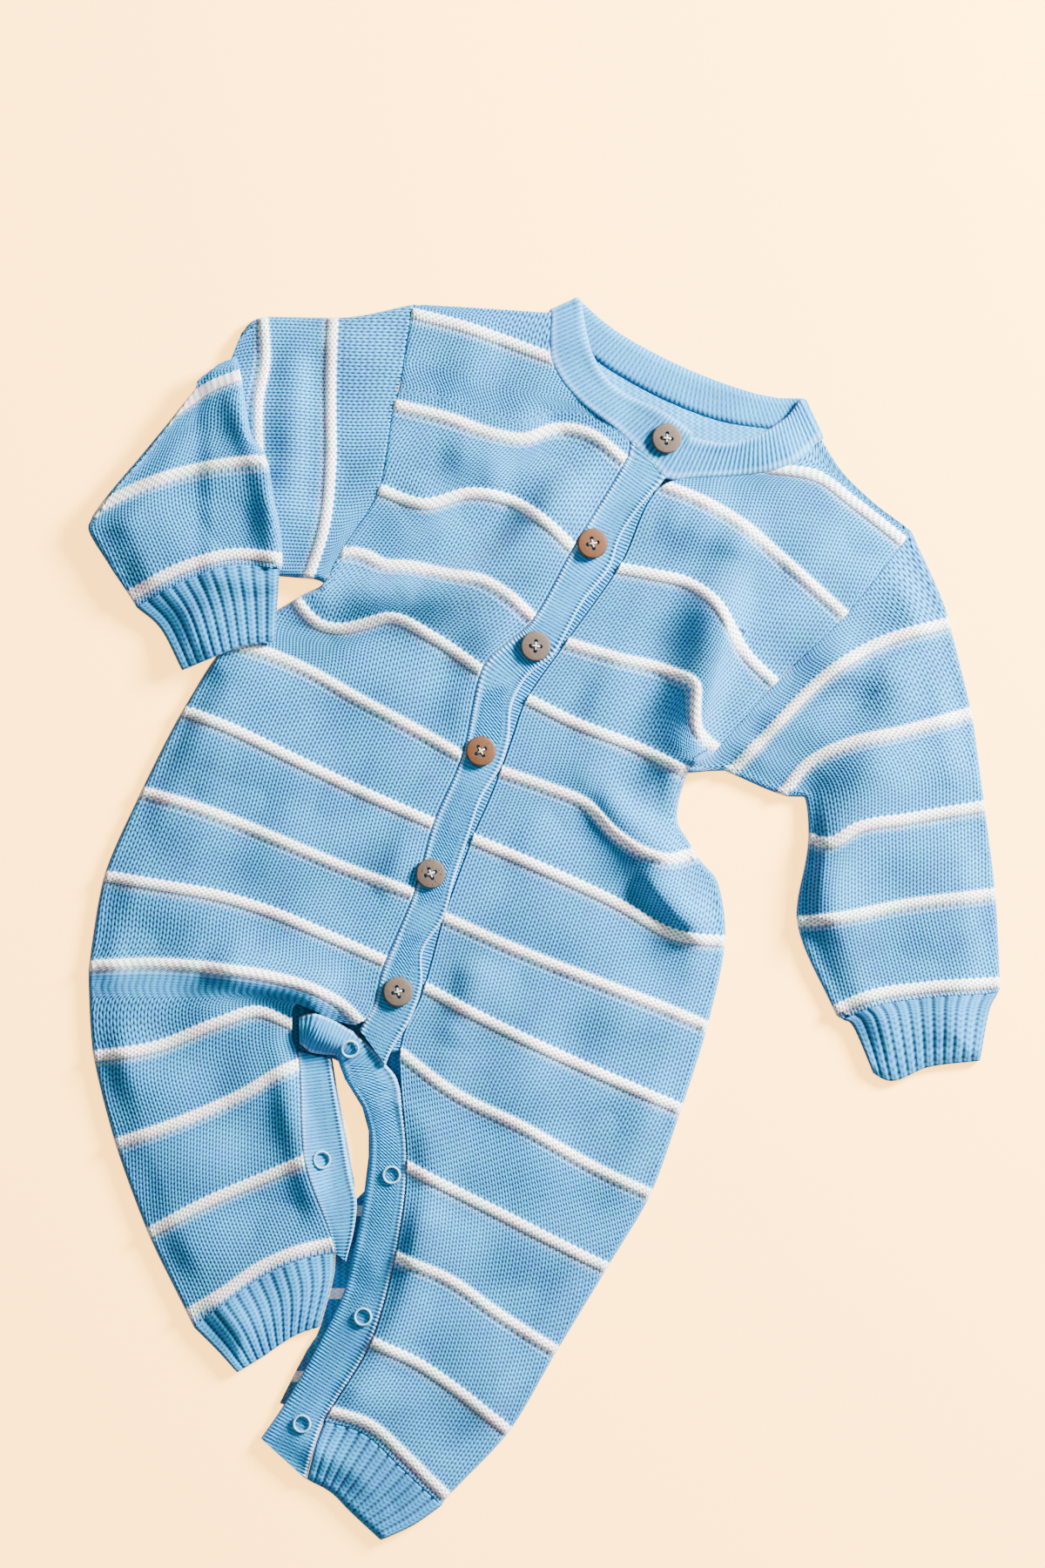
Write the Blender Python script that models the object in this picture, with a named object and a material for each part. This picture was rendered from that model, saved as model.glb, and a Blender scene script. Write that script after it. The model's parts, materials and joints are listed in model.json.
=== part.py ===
"""Knitted baby romper with raised stripes, laid flat on its back.

Every piece of cloth is a wall of its own between an outer and an inner surface. A front panel is a
set of lines across the garment, one for each stripe, read from a short table in millimetres and
blended. One drape function lifts all layers alike, so they lie on each other without touching.
The origin is at the middle of the floor under the garment, +Y towards the neck side, +Z up.
"""
import math

import bmesh
import bpy
import numpy as np
from mathutils import Matrix, Vector
from mathutils.bvhtree import BVHTree

MM = 0.001

# Driving dimensions, millimetres
CLOTH = 2.0              # knitted wall
SKIN = 0.3               # air between two layers
SEAM = 0.8               # gap between neighbours along a seam, in plan
ARM_SEAM = 1.4           # and along an armhole or another curved seam
WELT_HALF = 2.4          # half the width of a white stripe
WELT_HEIGHT = 1.4
RIM = 2.6                # how far the rounded side edge reaches into a panel
PUFF = 1.8               # how much the garment stands up away from its edges
PUFF_RUN = 16.0
BACK_TOP = CLOTH                      # upper face of the back panel
FRONT_LOW = BACK_TOP + SKIN           # lower face of the fronts
BAND_LOW = FRONT_LOW + CLOTH + SKIN   # lower face of the buttonhole band
PLACKET_RAMP = 20.0      # the right front rises to the band over this width
COLUMNS = 9              # across a front panel
ROW_GAP = 13.0           # between the lines of a panel, at most about
RIB_PITCH = 5.0          # wrist and ankle cuffs
RIB_HEIGHT = 0.9
BUTTON_RADIUS = 6.9
BUTTON_THICK = 2.6
BUTTON_HOLE = 0.9
BUTTON_HOLE_OFFSET = 2.3
SNAP_RADIUS = 4.3
SNAP_BORE = 3.2
SNAP_THICK = 1.5

STRIPE, PLAIN = 1, 0

# Right front: kind, then points from the arm or side edge to the placket, x and y
RIGHT_ROWS = [
    (PLAIN, [(-60, 283), (-26, 281), (3, 279)]),
    (STRIPE, [(-61, 279), (-38, 273), (-18, 266), (3, 258)]),
    (PLAIN, [(-64, 260), (-42, 255), (-20, 247), (-4, 243), (14, 240)]),
    (PLAIN, [(-67, 243), (-43, 238), (-21, 230), (-9, 228), (7, 233), (21, 231), (39, 219)]),
    (STRIPE, [(-69, 237), (-45, 231), (-22, 223), (-10, 221), (6, 226), (19, 224), (37, 211)]),
    (STRIPE, [(-76, 198), (-55, 191), (-34, 196), (-16, 193), (2, 181), (13, 171)]),
    (STRIPE, [(-93, 170), (-82, 168), (-74, 164), (-62, 163), (-44, 159), (-28, 156), (-16, 149),
              (-5, 139)]),
    (PLAIN, [(-101, 155), (-88, 152), (-70, 151), (-46, 145), (-18, 127)]),
    (STRIPE, [(-114, 148), (-109, 141), (-103, 136), (-94, 134), (-83, 136), (-71, 139), (-51, 130),
              (-29, 115)]),
    (STRIPE, [(-145, 128), (-136, 126), (-112, 117), (-85, 102), (-59, 88), (-38, 76)]),
    (STRIPE, [(-166, 97), (-145, 89), (-118, 76), (-85, 60), (-51, 45)]),
    (STRIPE, [(-185, 60), (-158, 52), (-125, 39), (-92, 25), (-60, 13)]),
    (STRIPE, [(-202, 21), (-178, 17), (-150, 12), (-124, 4), (-98, -7), (-73, -18)]),
    (STRIPE, [(-209, -20), (-178, -19), (-150, -21), (-124, -25), (-104, -31), (-92, -38), (-84, -46)]),
    (PLAIN, [(-209, -36), (-178, -36), (-152, -35), (-132, -34), (-112, -37)]),
    (STRIPE, [(-207, -62), (-177, -57), (-149, -46), (-131, -41), (-115.5, -47)]),
    (STRIPE, [(-197, -102), (-163, -90), (-135, -77), (-122, -69), (-112.5, -65)]),
    (STRIPE, [(-182, -143), (-156, -129), (-128, -117), (-110, -109)]),
    (STRIPE, [(-164, -180), (-149, -171), (-130, -158), (-114, -151), (-97, -147)]),
    (PLAIN, [(-161, -186), (-147, -175), (-128, -162), (-112, -155), (-96, -152)]),
]
RIGHT_NECK, RIGHT_UNDERARM, RIGHT_CROTCH, RIGHT_LEG = 3, 7, 13, 15   # rows where edges change

# Left front, from the arm or side edge to the placket
LEFT_ROWS = [
    (PLAIN, [(168.5, 179), (150, 193), (136, 207), (127, 221)]),
    (STRIPE, [(165, 174), (142, 192), (125, 204), (107, 207)]),
    (STRIPE, [(138, 140), (125, 152), (107, 168), (92, 181), (72, 193), (55, 200)]),
    (STRIPE, [(106, 109), (92, 123), (85, 135), (78, 146), (66, 155), (50, 159), (34, 162)]),
    (STRIPE, [(79, 79), (70, 88), (69, 99), (69, 108), (56, 115), (33, 121), (10, 128)]),
    (STRIPE, [(66, 68), (42, 80), (14, 91), (-8, 102)]),
    (PLAIN, [(61, 48), (46, 54), (28, 64), (8, 76), (-14, 86)]),
    (STRIPE, [(69, 32), (58, 29), (46, 32), (33, 40), (19, 54), (0, 62), (-20, 69)]),
    (PLAIN, [(80, 17), (68, 11), (48, 14), (34, 24), (10, 40), (-26, 54)]),
    (STRIPE, [(83, -9), (70, -8), (60, -6), (34, 8), (2, 23), (-33, 38)]),
    (STRIPE, [(75, -48), (54, -39), (28, -29), (-10, -14), (-46, 2)]),
    (STRIPE, [(63, -86), (15, -65), (-23, -47), (-55, -30)]),
    (STRIPE, [(49, -125), (22, -112), (-10, -94), (-42, -78), (-66, -60)]),
    (STRIPE, [(29, -159), (-4, -142), (-34, -127), (-63, -112)]),
    (STRIPE, [(6, -197), (-22, -179), (-45, -163), (-68, -153)]),
    (STRIPE, [(-16, -234), (-34, -219), (-57, -203), (-79, -192)]),
    (STRIPE, [(-44, -264), (-63, -245), (-80, -230), (-98, -224)]),
    (PLAIN, [(-47, -268), (-66, -250), (-84, -234), (-101, -229)]),
]
LEFT_NECK, LEFT_UNDERARM, LEFT_CROTCH = 2, 5, 12

# Left sleeve, from the underarm side to the shoulder side; its first row is the armhole
LEFT_SLEEVE_ROWS = [
    (STRIPE, [(85, 68), (107, 91), (129, 113), (152, 127), (186, 137)]),
    (STRIPE, [(109, 58), (120, 72), (140, 82), (163, 87), (196, 96)]),
    (PLAIN, [(119, 57), (128, 61), (150, 65), (199, 76)]),
    (STRIPE, [(121, 38), (130, 36), (143, 43), (166, 47), (202, 53)]),
    (STRIPE, [(116, 0), (134, 2), (166, 8), (207, 13)]),
    (STRIPE, [(133, -41), (146, -35), (176, -30), (209, -28)]),
    (PLAIN, [(137, -45), (148, -40), (176, -35), (208, -33)]),
]

# Right sleeve above the elbow, from the underarm side to the shoulder side
RIGHT_SLEEVE_ROWS = [
    (STRIPE, [(-108, 157), (-101, 180), (-98, 209), (-98, 244), (-97, 277)]),
    (STRIPE, [(-129, 159), (-131, 183), (-131, 215), (-131, 238), (-128, 256), (-129, 277)]),
    (PLAIN, [(-146, 162), (-148, 185), (-148, 215), (-146, 250), (-139, 270)]),
]

# Forearm folded over the upper arm, from the elbow side to the crease
FOREARM_ROWS = [
    (PLAIN, [(-151, 255), (-146, 257), (-141, 258)]),
    (STRIPE, [(-167, 235), (-154, 244), (-139, 250)]),
    (PLAIN, [(-186, 212), (-158, 223), (-134, 223)]),
    (STRIPE, [(-204, 190), (-183, 200), (-154, 208), (-127, 211)]),
    (PLAIN, [(-209, 180), (-182, 187), (-154, 193), (-124, 195)]),
    (PLAIN, [(-200, 164), (-174, 173), (-150, 178), (-121, 180)]),
    (STRIPE, [(-190, 149), (-165, 162), (-142, 168), (-120, 166)]),
    (PLAIN, [(-187, 144), (-164, 156), (-142, 163), (-121, 161)]),
]

# Cuffs: the rows that follow the hem of the piece above, outer or left edge first
CUFF_ROWS = {
    "cuff_sleeve_left": [[(142, -49), (176, -42), (204, -42)], [(151, -70), (157, -73), (176, -67),
                                                                (200, -64)]],
    "cuff_sleeve_right": [[(-176, 134), (-150, 145), (-122, 146)], [(-166, 115), (-151, 121),
                                                                    (-138, 126), (-123, 128)]],
    "cuff_leg_right": [[(-150, -197), (-130, -180), (-97, -164)], [(-141, -207), (-131, -201),
                                                                   (-112, -189), (-103, -186)]],
    "cuff_leg_left": [[(-60, -277), (-80, -257), (-105, -240)], [(-75, -284), (-90, -270), (-98, -262),
                                                                 (-109, -256)]],
}

# Free edge of the buttonhole band, from the neckband to the crotch: x, y
BAND_FREE_EDGE = [(58, 204), (44, 190), (34, 174), (31, 164), (17, 145), (10, 132), (5, 123), (-8, 112),
                  (-15, 98), (-16, 84), (-19, 73), (-29, 56), (-35, 38), (-41, 20), (-46, 2), (-56, -15),
                  (-56, -29), (-61, -44), (-71, -61)]
BAND_UNDER_WIDTH = 12.0
BAND_SHARES = [0.0, 0.1, 0.5, 0.9, 1.0]      # columns across a band
BAND_CROWN = [1.3, 1.9, 2.0, 1.9, 1.3]       # and its thickness there

# Upper edge of the neckband along the right half, the back and the left half, x, y
NECK_RIGHT_EDGE = [(17, 284), (19, 272), (22, 260), (29, 248), (40, 240), (50, 236), (60, 230), (68, 224)]
NECK_END = [(39.5, 219.5), (49, 212.5), (60, 205.5)]      # lower edge over the button band
NECK_BACK_EDGE = [(117, 239), (102, 241), (82, 247), (54, 259), (30, 273), (17, 284)]
NECK_BACK_SEAM = [(127, 221), (118, 224), (102, 226), (82, 229), (62, 236), (38, 248), (20, 260),
                  (3, 279)]
NECK_LEFT_EDGE = [(117, 239), (112, 232), (107, 228), (96, 222), (84, 219), (72, 221), (65, 223)]

# Snap bands: left edge of the left one from crotch to ankle, right edge of the right one
SNAP_LEFT_EDGE = [(-94, -64), (-91, -72), (-83, -85), (-80, -96), (-80, -108), (-82, -124), (-85, -140),
                  (-88, -154), (-92, -170), (-101, -189), (-121, -224), (-130, -237)]
SNAP_RIGHT_EDGE = [(-98, -63), (-96, -76), (-92, -97), (-88, -119), (-86, -128), (-87, -140), (-91, -156)]
BACK_SPUR = [(-104.8, -190.5), (-109.2, -197), (-113.4, -205), (-121.5, -221)]
CROTCH_ROLL = [(-112, -56, -113, -46, 4.0), (-107, -60, -106, -42, 8.0), (-101, -61, -98, -44, 8.0),
               (-95, -62, -88, -50, 3.5), (-94, -65, -77, -60, 0.5)]   # lower x, y, upper x, y, lift

BUTTONS = [(56, 221), (22, 173), (-4, 126), (-29, 78), (-52, 22), (-67, -32)]
BUTTON_PROFILE = [(BUTTON_RADIUS - 0.7, 0.0), (BUTTON_RADIUS - 0.1, 0.5), (BUTTON_RADIUS, 1.3),
                  (BUTTON_RADIUS - 0.2, 2.1), (BUTTON_RADIUS - 0.8, BUTTON_THICK)]
BUTTON_SPINS = (84, 101, 85, 120, 110, 103)      # degrees from the x axis to the first hole
SNAP_PROFILE = [(SNAP_BORE, 0.0), (SNAP_RADIUS, 0.0), (SNAP_RADIUS, 0.9), (SNAP_RADIUS - 0.4, SNAP_THICK),
                (SNAP_BORE + 0.1, 1.2)]
SNAPS = [(-89, -58), (-102, -109), (-70, -116), (-83, -181), (-111, -230)]

# Folds of the laid cloth: crest x, y points, height, width to the left and right of its direction
FOLDS = [
    ([(26, 214), (4, 186), (-24, 160), (-62, 150), (-98, 148)], 7.0, 11, 12),
    ([(4, 232), (-20, 214), (-50, 212)], 4.0, 9, 8),
    ([(-12, 204), (-40, 200), (-62, 188)], 4.0, 8, 9),
    ([(90, 168), (83, 145), (77, 118), (70, 94), (66, 68), (62, 44)], 9.0, 7, 15),
    ([(96, 174), (72, 181), (50, 184)], 3.0, 8, 9),
    ([(22, 64), (36, 48), (50, 34), (66, 30)], 4.0, 7, 9),
    ([(44, 26), (56, 12), (68, 0), (78, -4)], 6.0, 10, 7),
    ([(-158, -20), (-128, -26), (-106, -33), (-92, -42)], 6.5, 14, 8),
    ([(-123, -47), (-119, -66), (-115, -90), (-108, -116), (-100, -140)], 4.0, 5, 6),
    ([(-50, -118), (-58, -150), (-66, -180), (-86, -212)], 3.5, 9, 7),
    ([(138, 118), (160, 108), (152, 76), (140, 52), (129, 20), (133, -14)], 6.5, 12, 10),
    ([(96, 82), (124, 106), (150, 122)], 3.0, 7, 5),
    ([(-113, 268), (-115, 230), (-117, 190)], 3.0, 6, 9),
    ([(-142, 112), (-150, 80), (-158, 52)], 1.8, 10, 10),
    ([(-30, -14), (-38, -40), (-44, -60)], 2.0, 8, 8),
]
FOREARM_FOLDS = [
    ([(-146, 250), (-136, 222), (-127, 196), (-124, 166), (-127, 140)], 3.0, 8, 6),
    ([(-192, 190), (-186, 168), (-180, 150)], 1.5, 8, 8),
]

# Elbow: outline of the folded lower layer, and the profile of the forearm's side: height as a share,
# distance inward, extra distance inward in the groove between the two layers
ELBOW = [(-112.0, 290), (-136, 284), (-224, 188), (-206, 164), (-150, 161), (-112, 158)]
UPPER_ARM = [(-60.0, 283), (-131, 278), (-150, 262), (-150, 160), (-129, 157), (-103, 156)]
SIDE_LEVELS = [(0.0, 0.9, 0.0), (0.14, 0.0, 0.0), (0.38, 0.0, 0.0), (0.48, 0.0, 1.7), (0.58, 0.0, 0.0),
               (0.84, 0.1, 0.0), (0.96, 1.3, 0.0)]

# Outline of the laid garment, clockwise from the right shoulder seam's neck end
SILHOUETTE = [
    (3, 279), (17, 284), (30, 273), (54, 259), (82, 247), (102, 241), (117, 239), (127, 221), (150, 193),
    (167, 179), (186, 137), (196, 96), (202, 53), (207, 13), (209, -28), (204, -42), (200, -64),
    (176, -67), (157, -73), (151, -70), (137, -45), (116, 0), (121, 38), (119, 57), (109, 58), (85, 68),
    (66, 66), (61, 48), (69, 32), (80, 17), (83, -9), (75, -48), (63, -86), (49, -125), (29, -159),
    (6, -197), (-16, -234), (-44, -264), (-60, -277), (-75, -284), (-90, -270), (-98, -262), (-109, -256),
    (-122, -246), (-130, -237), (-121, -224), (-101, -189), (-91, -165), (-96, -158), (-97, -164),
    (-103, -186), (-112, -189), (-131, -201), (-141, -207), (-150, -197), (-164, -180), (-182, -143),
    (-197, -102), (-207, -62), (-209, -20), (-202, 21), (-185, 60), (-166, 97), (-160, 107), (-166, 115),
    (-176, 134), (-190, 149), (-200, 164), (-209, 180), (-204, 190), (-186, 212), (-167, 235),
    (-146, 259), (-131, 278), (-97, 278), (-60, 284),
]


def clear_scene():
    """Remove every object of the file that is open."""
    for old in list(bpy.data.objects):
        bpy.data.objects.remove(old, do_unlink=True)


def even_slopes(keys, values):
    """Slopes at the keys for a curve that never swings past its own points."""
    shape = (-1,) + (1,) * (values.ndim - 1)
    step = np.diff(keys).reshape(shape)
    secant = np.diff(values, axis=0) / step
    slopes = np.concatenate([secant[:1], np.zeros_like(secant[1:]), secant[-1:]])
    before, after = secant[:-1], secant[1:]
    same = before * after > 0
    weight_a, weight_b = 2 * step[1:] + step[:-1], step[1:] + 2 * step[:-1]
    share = np.where(same, weight_a / np.where(same, before, 1) + weight_b / np.where(same, after, 1), 1)
    slopes[1:-1] = np.where(same, (weight_a + weight_b) / share, 0.0)
    return slopes


def hermite(keys, values, at, even=False):
    """Smooth curve through values at keys, read at the keys in at."""
    keys = np.asarray(keys, float)
    values = np.asarray(values, float)
    slopes = even_slopes(keys, values) if even else np.gradient(values, keys, axis=0)
    low = np.clip(np.searchsorted(keys, at, side="right") - 1, 0, len(keys) - 2)
    step = (keys[low + 1] - keys[low])
    shape = (-1,) + (1,) * (values.ndim - 1)
    t = ((at - keys[low]) / step).reshape(shape)
    step = step.reshape(shape)
    return ((2 * t**3 - 3 * t**2 + 1) * values[low] + (t**3 - 2 * t**2 + t) * step * slopes[low]
            + (3 * t**2 - 2 * t**3) * values[low + 1] + (t**3 - t**2) * step * slopes[low + 1])


def curve(points, count):
    """Count points at even steps along a smooth curve through the points."""
    points = np.asarray(points, float)
    if len(points) == 2:
        return points[0] + np.linspace(0, 1, count)[:, None] * (points[1] - points[0])
    keys = np.concatenate([[0], np.cumsum(np.linalg.norm(np.diff(points, axis=0), axis=1))])
    fine = hermite(keys, points, np.linspace(0, keys[-1], 16 * len(points)))
    run = np.concatenate([[0], np.cumsum(np.linalg.norm(np.diff(fine, axis=0), axis=1))])
    stops = np.linspace(0, run[-1], count)
    return np.stack([np.interp(stops, run, fine[:, k]) for k in range(points.shape[1])], axis=1)


def normals_2d(line, closed=False):
    """Unit normals of a plan line, to the right of its direction."""
    if closed:
        along = np.roll(line, -1, axis=0) - np.roll(line, 1, axis=0)
    else:
        along = np.gradient(line, axis=0)
    along /= np.maximum(np.linalg.norm(along, axis=1), 1e-9)[:, None]
    return np.stack([along[:, 1], -along[:, 0]], axis=1)


def smooth(value):
    """Soft step from 0 to 1."""
    value = np.clip(value, 0.0, 1.0)
    return value * value * (3 - 2 * value)


def line_distance(xy, line):
    """Distance to an open line, the side of it and the place along it from 0 to 1."""
    line = np.asarray(line, float)
    best = np.full(len(xy), 1e9)
    side = np.zeros(len(xy))
    place = np.zeros(len(xy))
    lengths = np.linalg.norm(np.diff(line, axis=0), axis=1)
    total = lengths.sum()
    before = 0.0
    for a, b, length in zip(line[:-1], line[1:], lengths):
        along = (b - a) / length
        t = np.clip((xy - a) @ along, 0, length)
        off = xy - (a + t[:, None] * along)
        distance = np.hypot(off[:, 0], off[:, 1])
        nearer = distance < best
        best[nearer] = distance[nearer]
        cross = along[0] * off[:, 1] - along[1] * off[:, 0]
        side[nearer] = cross[nearer]
        place[nearer] = ((before + t) / total)[nearer]
        before += length
    return best, side, place


def fold_height(xy, folds):
    """Sum of soft ridges, each fading out at its ends."""
    height = np.zeros(len(xy))
    for crest, rise, left, right in folds:
        distance, side, place = line_distance(xy, curve(crest, 4 * len(crest)))
        width = np.where(side > 0, left, right)
        ends = smooth(place / 0.2) * smooth((1 - place) / 0.2)
        height += rise * (0.25 + 0.75 * ends) * np.exp(-(distance / width) ** 2)
    return height


def inside_distance(xy, outline):
    """Distance inside a closed outline, negative outside."""
    outline = np.asarray(outline, float)
    closed = np.vstack([outline, outline[:1]])
    distance = line_distance(xy, closed)[0]
    inside = np.zeros(len(xy), bool)
    for a, b in zip(closed[:-1], closed[1:]):
        crosses = (a[1] > xy[:, 1]) != (b[1] > xy[:, 1])
        if crosses.any():
            at = a[0] + (xy[:, 1] - a[1]) / (b[1] - a[1] + 1e-12) * (b[0] - a[0])
            inside ^= crosses & (xy[:, 0] < at)
    return np.where(inside, distance, -distance)


class Drape:
    """Height of the lowest front layer above where it would lie if pressed flat."""

    def __init__(self, outline, folds):
        self.outline = outline
        self.folds = folds

    def __call__(self, xy):
        flat = np.asarray(xy, float).reshape(-1, 2)
        distance = line_distance(flat, np.vstack([self.outline, self.outline[:1]]))[0]
        calm = 0.25 + 0.75 * smooth(distance / 10.0)
        height = PUFF * smooth(distance / PUFF_RUN) + calm * fold_height(flat, self.folds)
        return height.reshape(np.asarray(xy).shape[:-1])


class Panel:
    """Plan grid of a panel: lines across it, with those of each stripe close together."""

    def __init__(self, rows, columns, gap_rows, first=None):
        lines, kinds, keys = [], [], []
        if first is not None:
            lines.append(curve(first, columns))
            kinds.append(PLAIN)
            keys.append(-1.0)
        middles = [curve(points, columns) for kind, points in rows]
        for number, (kind, points) in enumerate(rows):
            if kind == PLAIN:
                lines.append(middles[number])
                kinds.append(PLAIN)
                keys.append(float(number))
                continue
            after = middles[min(number + 1, len(rows) - 1)]
            before = middles[max(number - 1, 0)]
            side = normals_2d(middles[number])
            if (side * (after - before)).sum() < 0:
                side = -side
            for column in (0, -1):
                along = (after - before)[column]
                along = along / np.linalg.norm(along)
                side[column] = along / max(along @ side[column], 0.5)
            for share in (-1.0, -0.5, 0.5, 1.0):
                lines.append(middles[number] + share * WELT_HALF * side)
                kinds.append(STRIPE if abs(share) < 1 else PLAIN)
                keys.append(number + 0.06 * share)
        self.lines = np.asarray(lines)
        self.keys = np.asarray(keys)
        stops, welt, lining = [], [], []
        for index, key in enumerate(keys):
            stops.append(key)
            welt.append(kinds[index])
            lining.append(kinds[index] == PLAIN)
            if index + 1 < len(keys) and keys[index + 1] - key > 0.2:
                width = np.linalg.norm(lines[index + 1] - lines[index], axis=1).mean()
                steps = int(np.clip(round(width / ROW_GAP), 1, gap_rows + 1))
                for step in range(1, steps):
                    stops.append(key + (keys[index + 1] - key) * step / steps)
                    welt.append(PLAIN)
                    lining.append(True)
        self.stops = np.asarray(stops)
        self.welt = np.asarray(welt, float)
        self.lining = np.flatnonzero(lining)     # rows that the plain inner side has too
        self.plan = hermite(self.keys, self.lines, self.stops, even=True)

    def edge(self, column, low, high, count):
        """Even points along one column of the grid between two row numbers."""
        stops = self.stops[(self.stops > min(low, high)) & (self.stops < max(low, high))]
        stops = np.concatenate([[min(low, high)], stops, [max(low, high)]])
        if low > high:
            stops = stops[::-1]
        line = np.stack([np.interp(stops, self.stops, self.plan[:, column, k]) for k in (0, 1)], axis=1)
        run = np.concatenate([[0], np.cumsum(np.linalg.norm(np.diff(line, axis=0), axis=1))])
        at = np.linspace(0, run[-1], count)
        return np.stack([np.interp(at, run, line[:, k]) for k in (0, 1)], axis=1)


def inward_2d(plan, edge, nearest):
    """Unit vectors at right angles to an edge column of a plan grid, into the grid."""
    side = normals_2d(plan[:, edge])
    turned = (side * (plan[:, nearest] - plan[:, edge])).sum(axis=1) < 0
    return np.where(turned[:, None], -side, side)


def lining_levels(low, keep):
    """Levels of the rows in keep, lowered so that nothing between them is cut by a straight line."""
    levels = low[keep].copy()
    for number, (first, last) in enumerate(zip(keep[:-1], keep[1:])):
        for row in range(first + 1, last):
            share = (row - first) / (last - first)
            chord = (1 - share) * low[first] + share * low[last]
            over = np.clip(chord - low[row], 0, 1.0)
            levels[number] = np.minimum(levels[number], low[first] - over)
            levels[number + 1] = np.minimum(levels[number + 1], low[last] - over)
    return levels


def offset(line, distance):
    """Plan line moved to its right."""
    return line + distance * normals_2d(line)


def steepness(drape, xy):
    """How much taller an upright cut through a sloping wall is than the wall is thick."""
    east = np.array([1.0, 0.0])
    north = np.array([0.0, 1.0])
    slope_x = (drape(xy + east) - drape(xy - east)) / 2
    slope_y = (drape(xy + north) - drape(xy - north)) / 2
    return np.minimum(np.sqrt(1 + slope_x**2 + slope_y**2), 1.7)


class Shell:
    """One closed mesh, collected in millimetres."""

    def __init__(self):
        self.points = []
        self.faces = []

    def add(self, xy, z):
        """Numbers of new points, in the shape of the arrays."""
        xy = np.asarray(xy, float)
        z = np.broadcast_to(np.asarray(z, float), xy.shape[:-1])
        start = len(self.points)
        self.points += [(x, y, h) for (x, y), h in zip(xy.reshape(-1, 2), z.reshape(-1))]
        return np.arange(start, len(self.points)).reshape(xy.shape[:-1])

    def grid(self, index, closed=False):
        """Four-sided faces over a grid of point numbers."""
        if closed:
            index = np.hstack([index, index[:, :1]])
        for a, b in zip(index[:-1], index[1:]):
            for k in range(len(a) - 1):
                self.faces.append((a[k], a[k + 1], b[k + 1], b[k]))

    def zip_edges(self, first, second):
        """Triangles between two edges that may have different numbers of points."""
        first, second = list(first), list(second)
        run_a, run_b = self.run(first), self.run(second)
        i = j = 0
        while i < len(first) - 1 or j < len(second) - 1:
            next_a = run_a[i + 1] if i < len(first) - 1 else 2.0
            next_b = run_b[j + 1] if j < len(second) - 1 else 2.0
            if next_a <= next_b:
                face = (first[i], first[i + 1], second[j])
                i += 1
            else:
                face = (first[i], second[j + 1], second[j])
                j += 1
            if len(set(face)) == 3:
                self.faces.append(face)

    def run(self, index):
        """Share of the way along an edge at each of its points."""
        points = np.array([self.points[k] for k in index])
        steps = np.concatenate([[0], np.cumsum(np.linalg.norm(np.diff(points, axis=0), axis=1))])
        return steps / steps[-1]

    def sheet(self, upper, lower):
        """Close two grids, one over the other, into a wall."""
        self.grid(upper)
        self.grid(lower)
        self.zip_edges(upper[0], lower[0])
        self.zip_edges(upper[-1], lower[-1])
        self.zip_edges(upper[:, 0], lower[:, 0])
        self.zip_edges(upper[:, -1], lower[:, -1])

    def cap(self, ring, count):
        """Close a ring whose first count points are its upper side."""
        ring = list(ring)
        self.zip_edges(ring[:count], [ring[0]] + ring[count:][::-1] + [ring[count - 1]])

    def tube(self, outer, inner, ties, blind):
        """Close rings of an outer and an inner wall into a tube; a blind one is shut at its last ring.

        The ties are pairs of places in the two rings that face each other at the ends.
        """
        self.grid(outer, closed=True)
        self.grid(inner, closed=True)
        for end in (0, -1):
            if blind and end == -1:
                self.cap(outer[end], ties[-1][0] + 1)
                self.cap(inner[end], ties[-1][1] + 1)
                continue
            ring, lining = list(outer[end]), list(inner[end])
            for (a, b), (c, d) in zip(ties[:-1], ties[1:]):
                self.zip_edges(ring[a:c + 1], lining[b:d + 1])
            self.zip_edges(ring[ties[-1][0]:] + ring[:1], lining[ties[-1][1]:] + lining[:1])

    def finish(self, name, material):
        """Object with the mesh in metres, faces pointing out."""
        mesh = bpy.data.meshes.new(name)
        mesh.from_pydata([(x * MM, y * MM, z * MM) for x, y, z in self.points], [],
                         [tuple(int(k) for k in face) for face in self.faces])
        bm = bmesh.new()
        bm.from_mesh(mesh)
        bmesh.ops.recalc_face_normals(bm, faces=bm.faces)
        if bm.calc_volume(signed=True) < 0:
            bmesh.ops.reverse_faces(bm, faces=bm.faces)
        bm.to_mesh(mesh)
        bm.free()
        mesh.shade_smooth()
        mesh.set_sharp_from_angle(angle=math.radians(50))
        mesh.materials.append(material)
        piece = bpy.data.objects.new(name, mesh)
        bpy.context.scene.collection.objects.link(piece)
        return piece


def make_material(name, colour, roughness):
    """Principled material of one finish."""
    material = bpy.data.materials.new(name)
    material.use_nodes = True
    shader = material.node_tree.nodes["Principled BSDF"]
    shader.inputs["Base Color"].default_value = (*colour, 1.0)
    shader.inputs["Roughness"].default_value = roughness
    shader.inputs["Metallic"].default_value = 0.0
    return material


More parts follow.
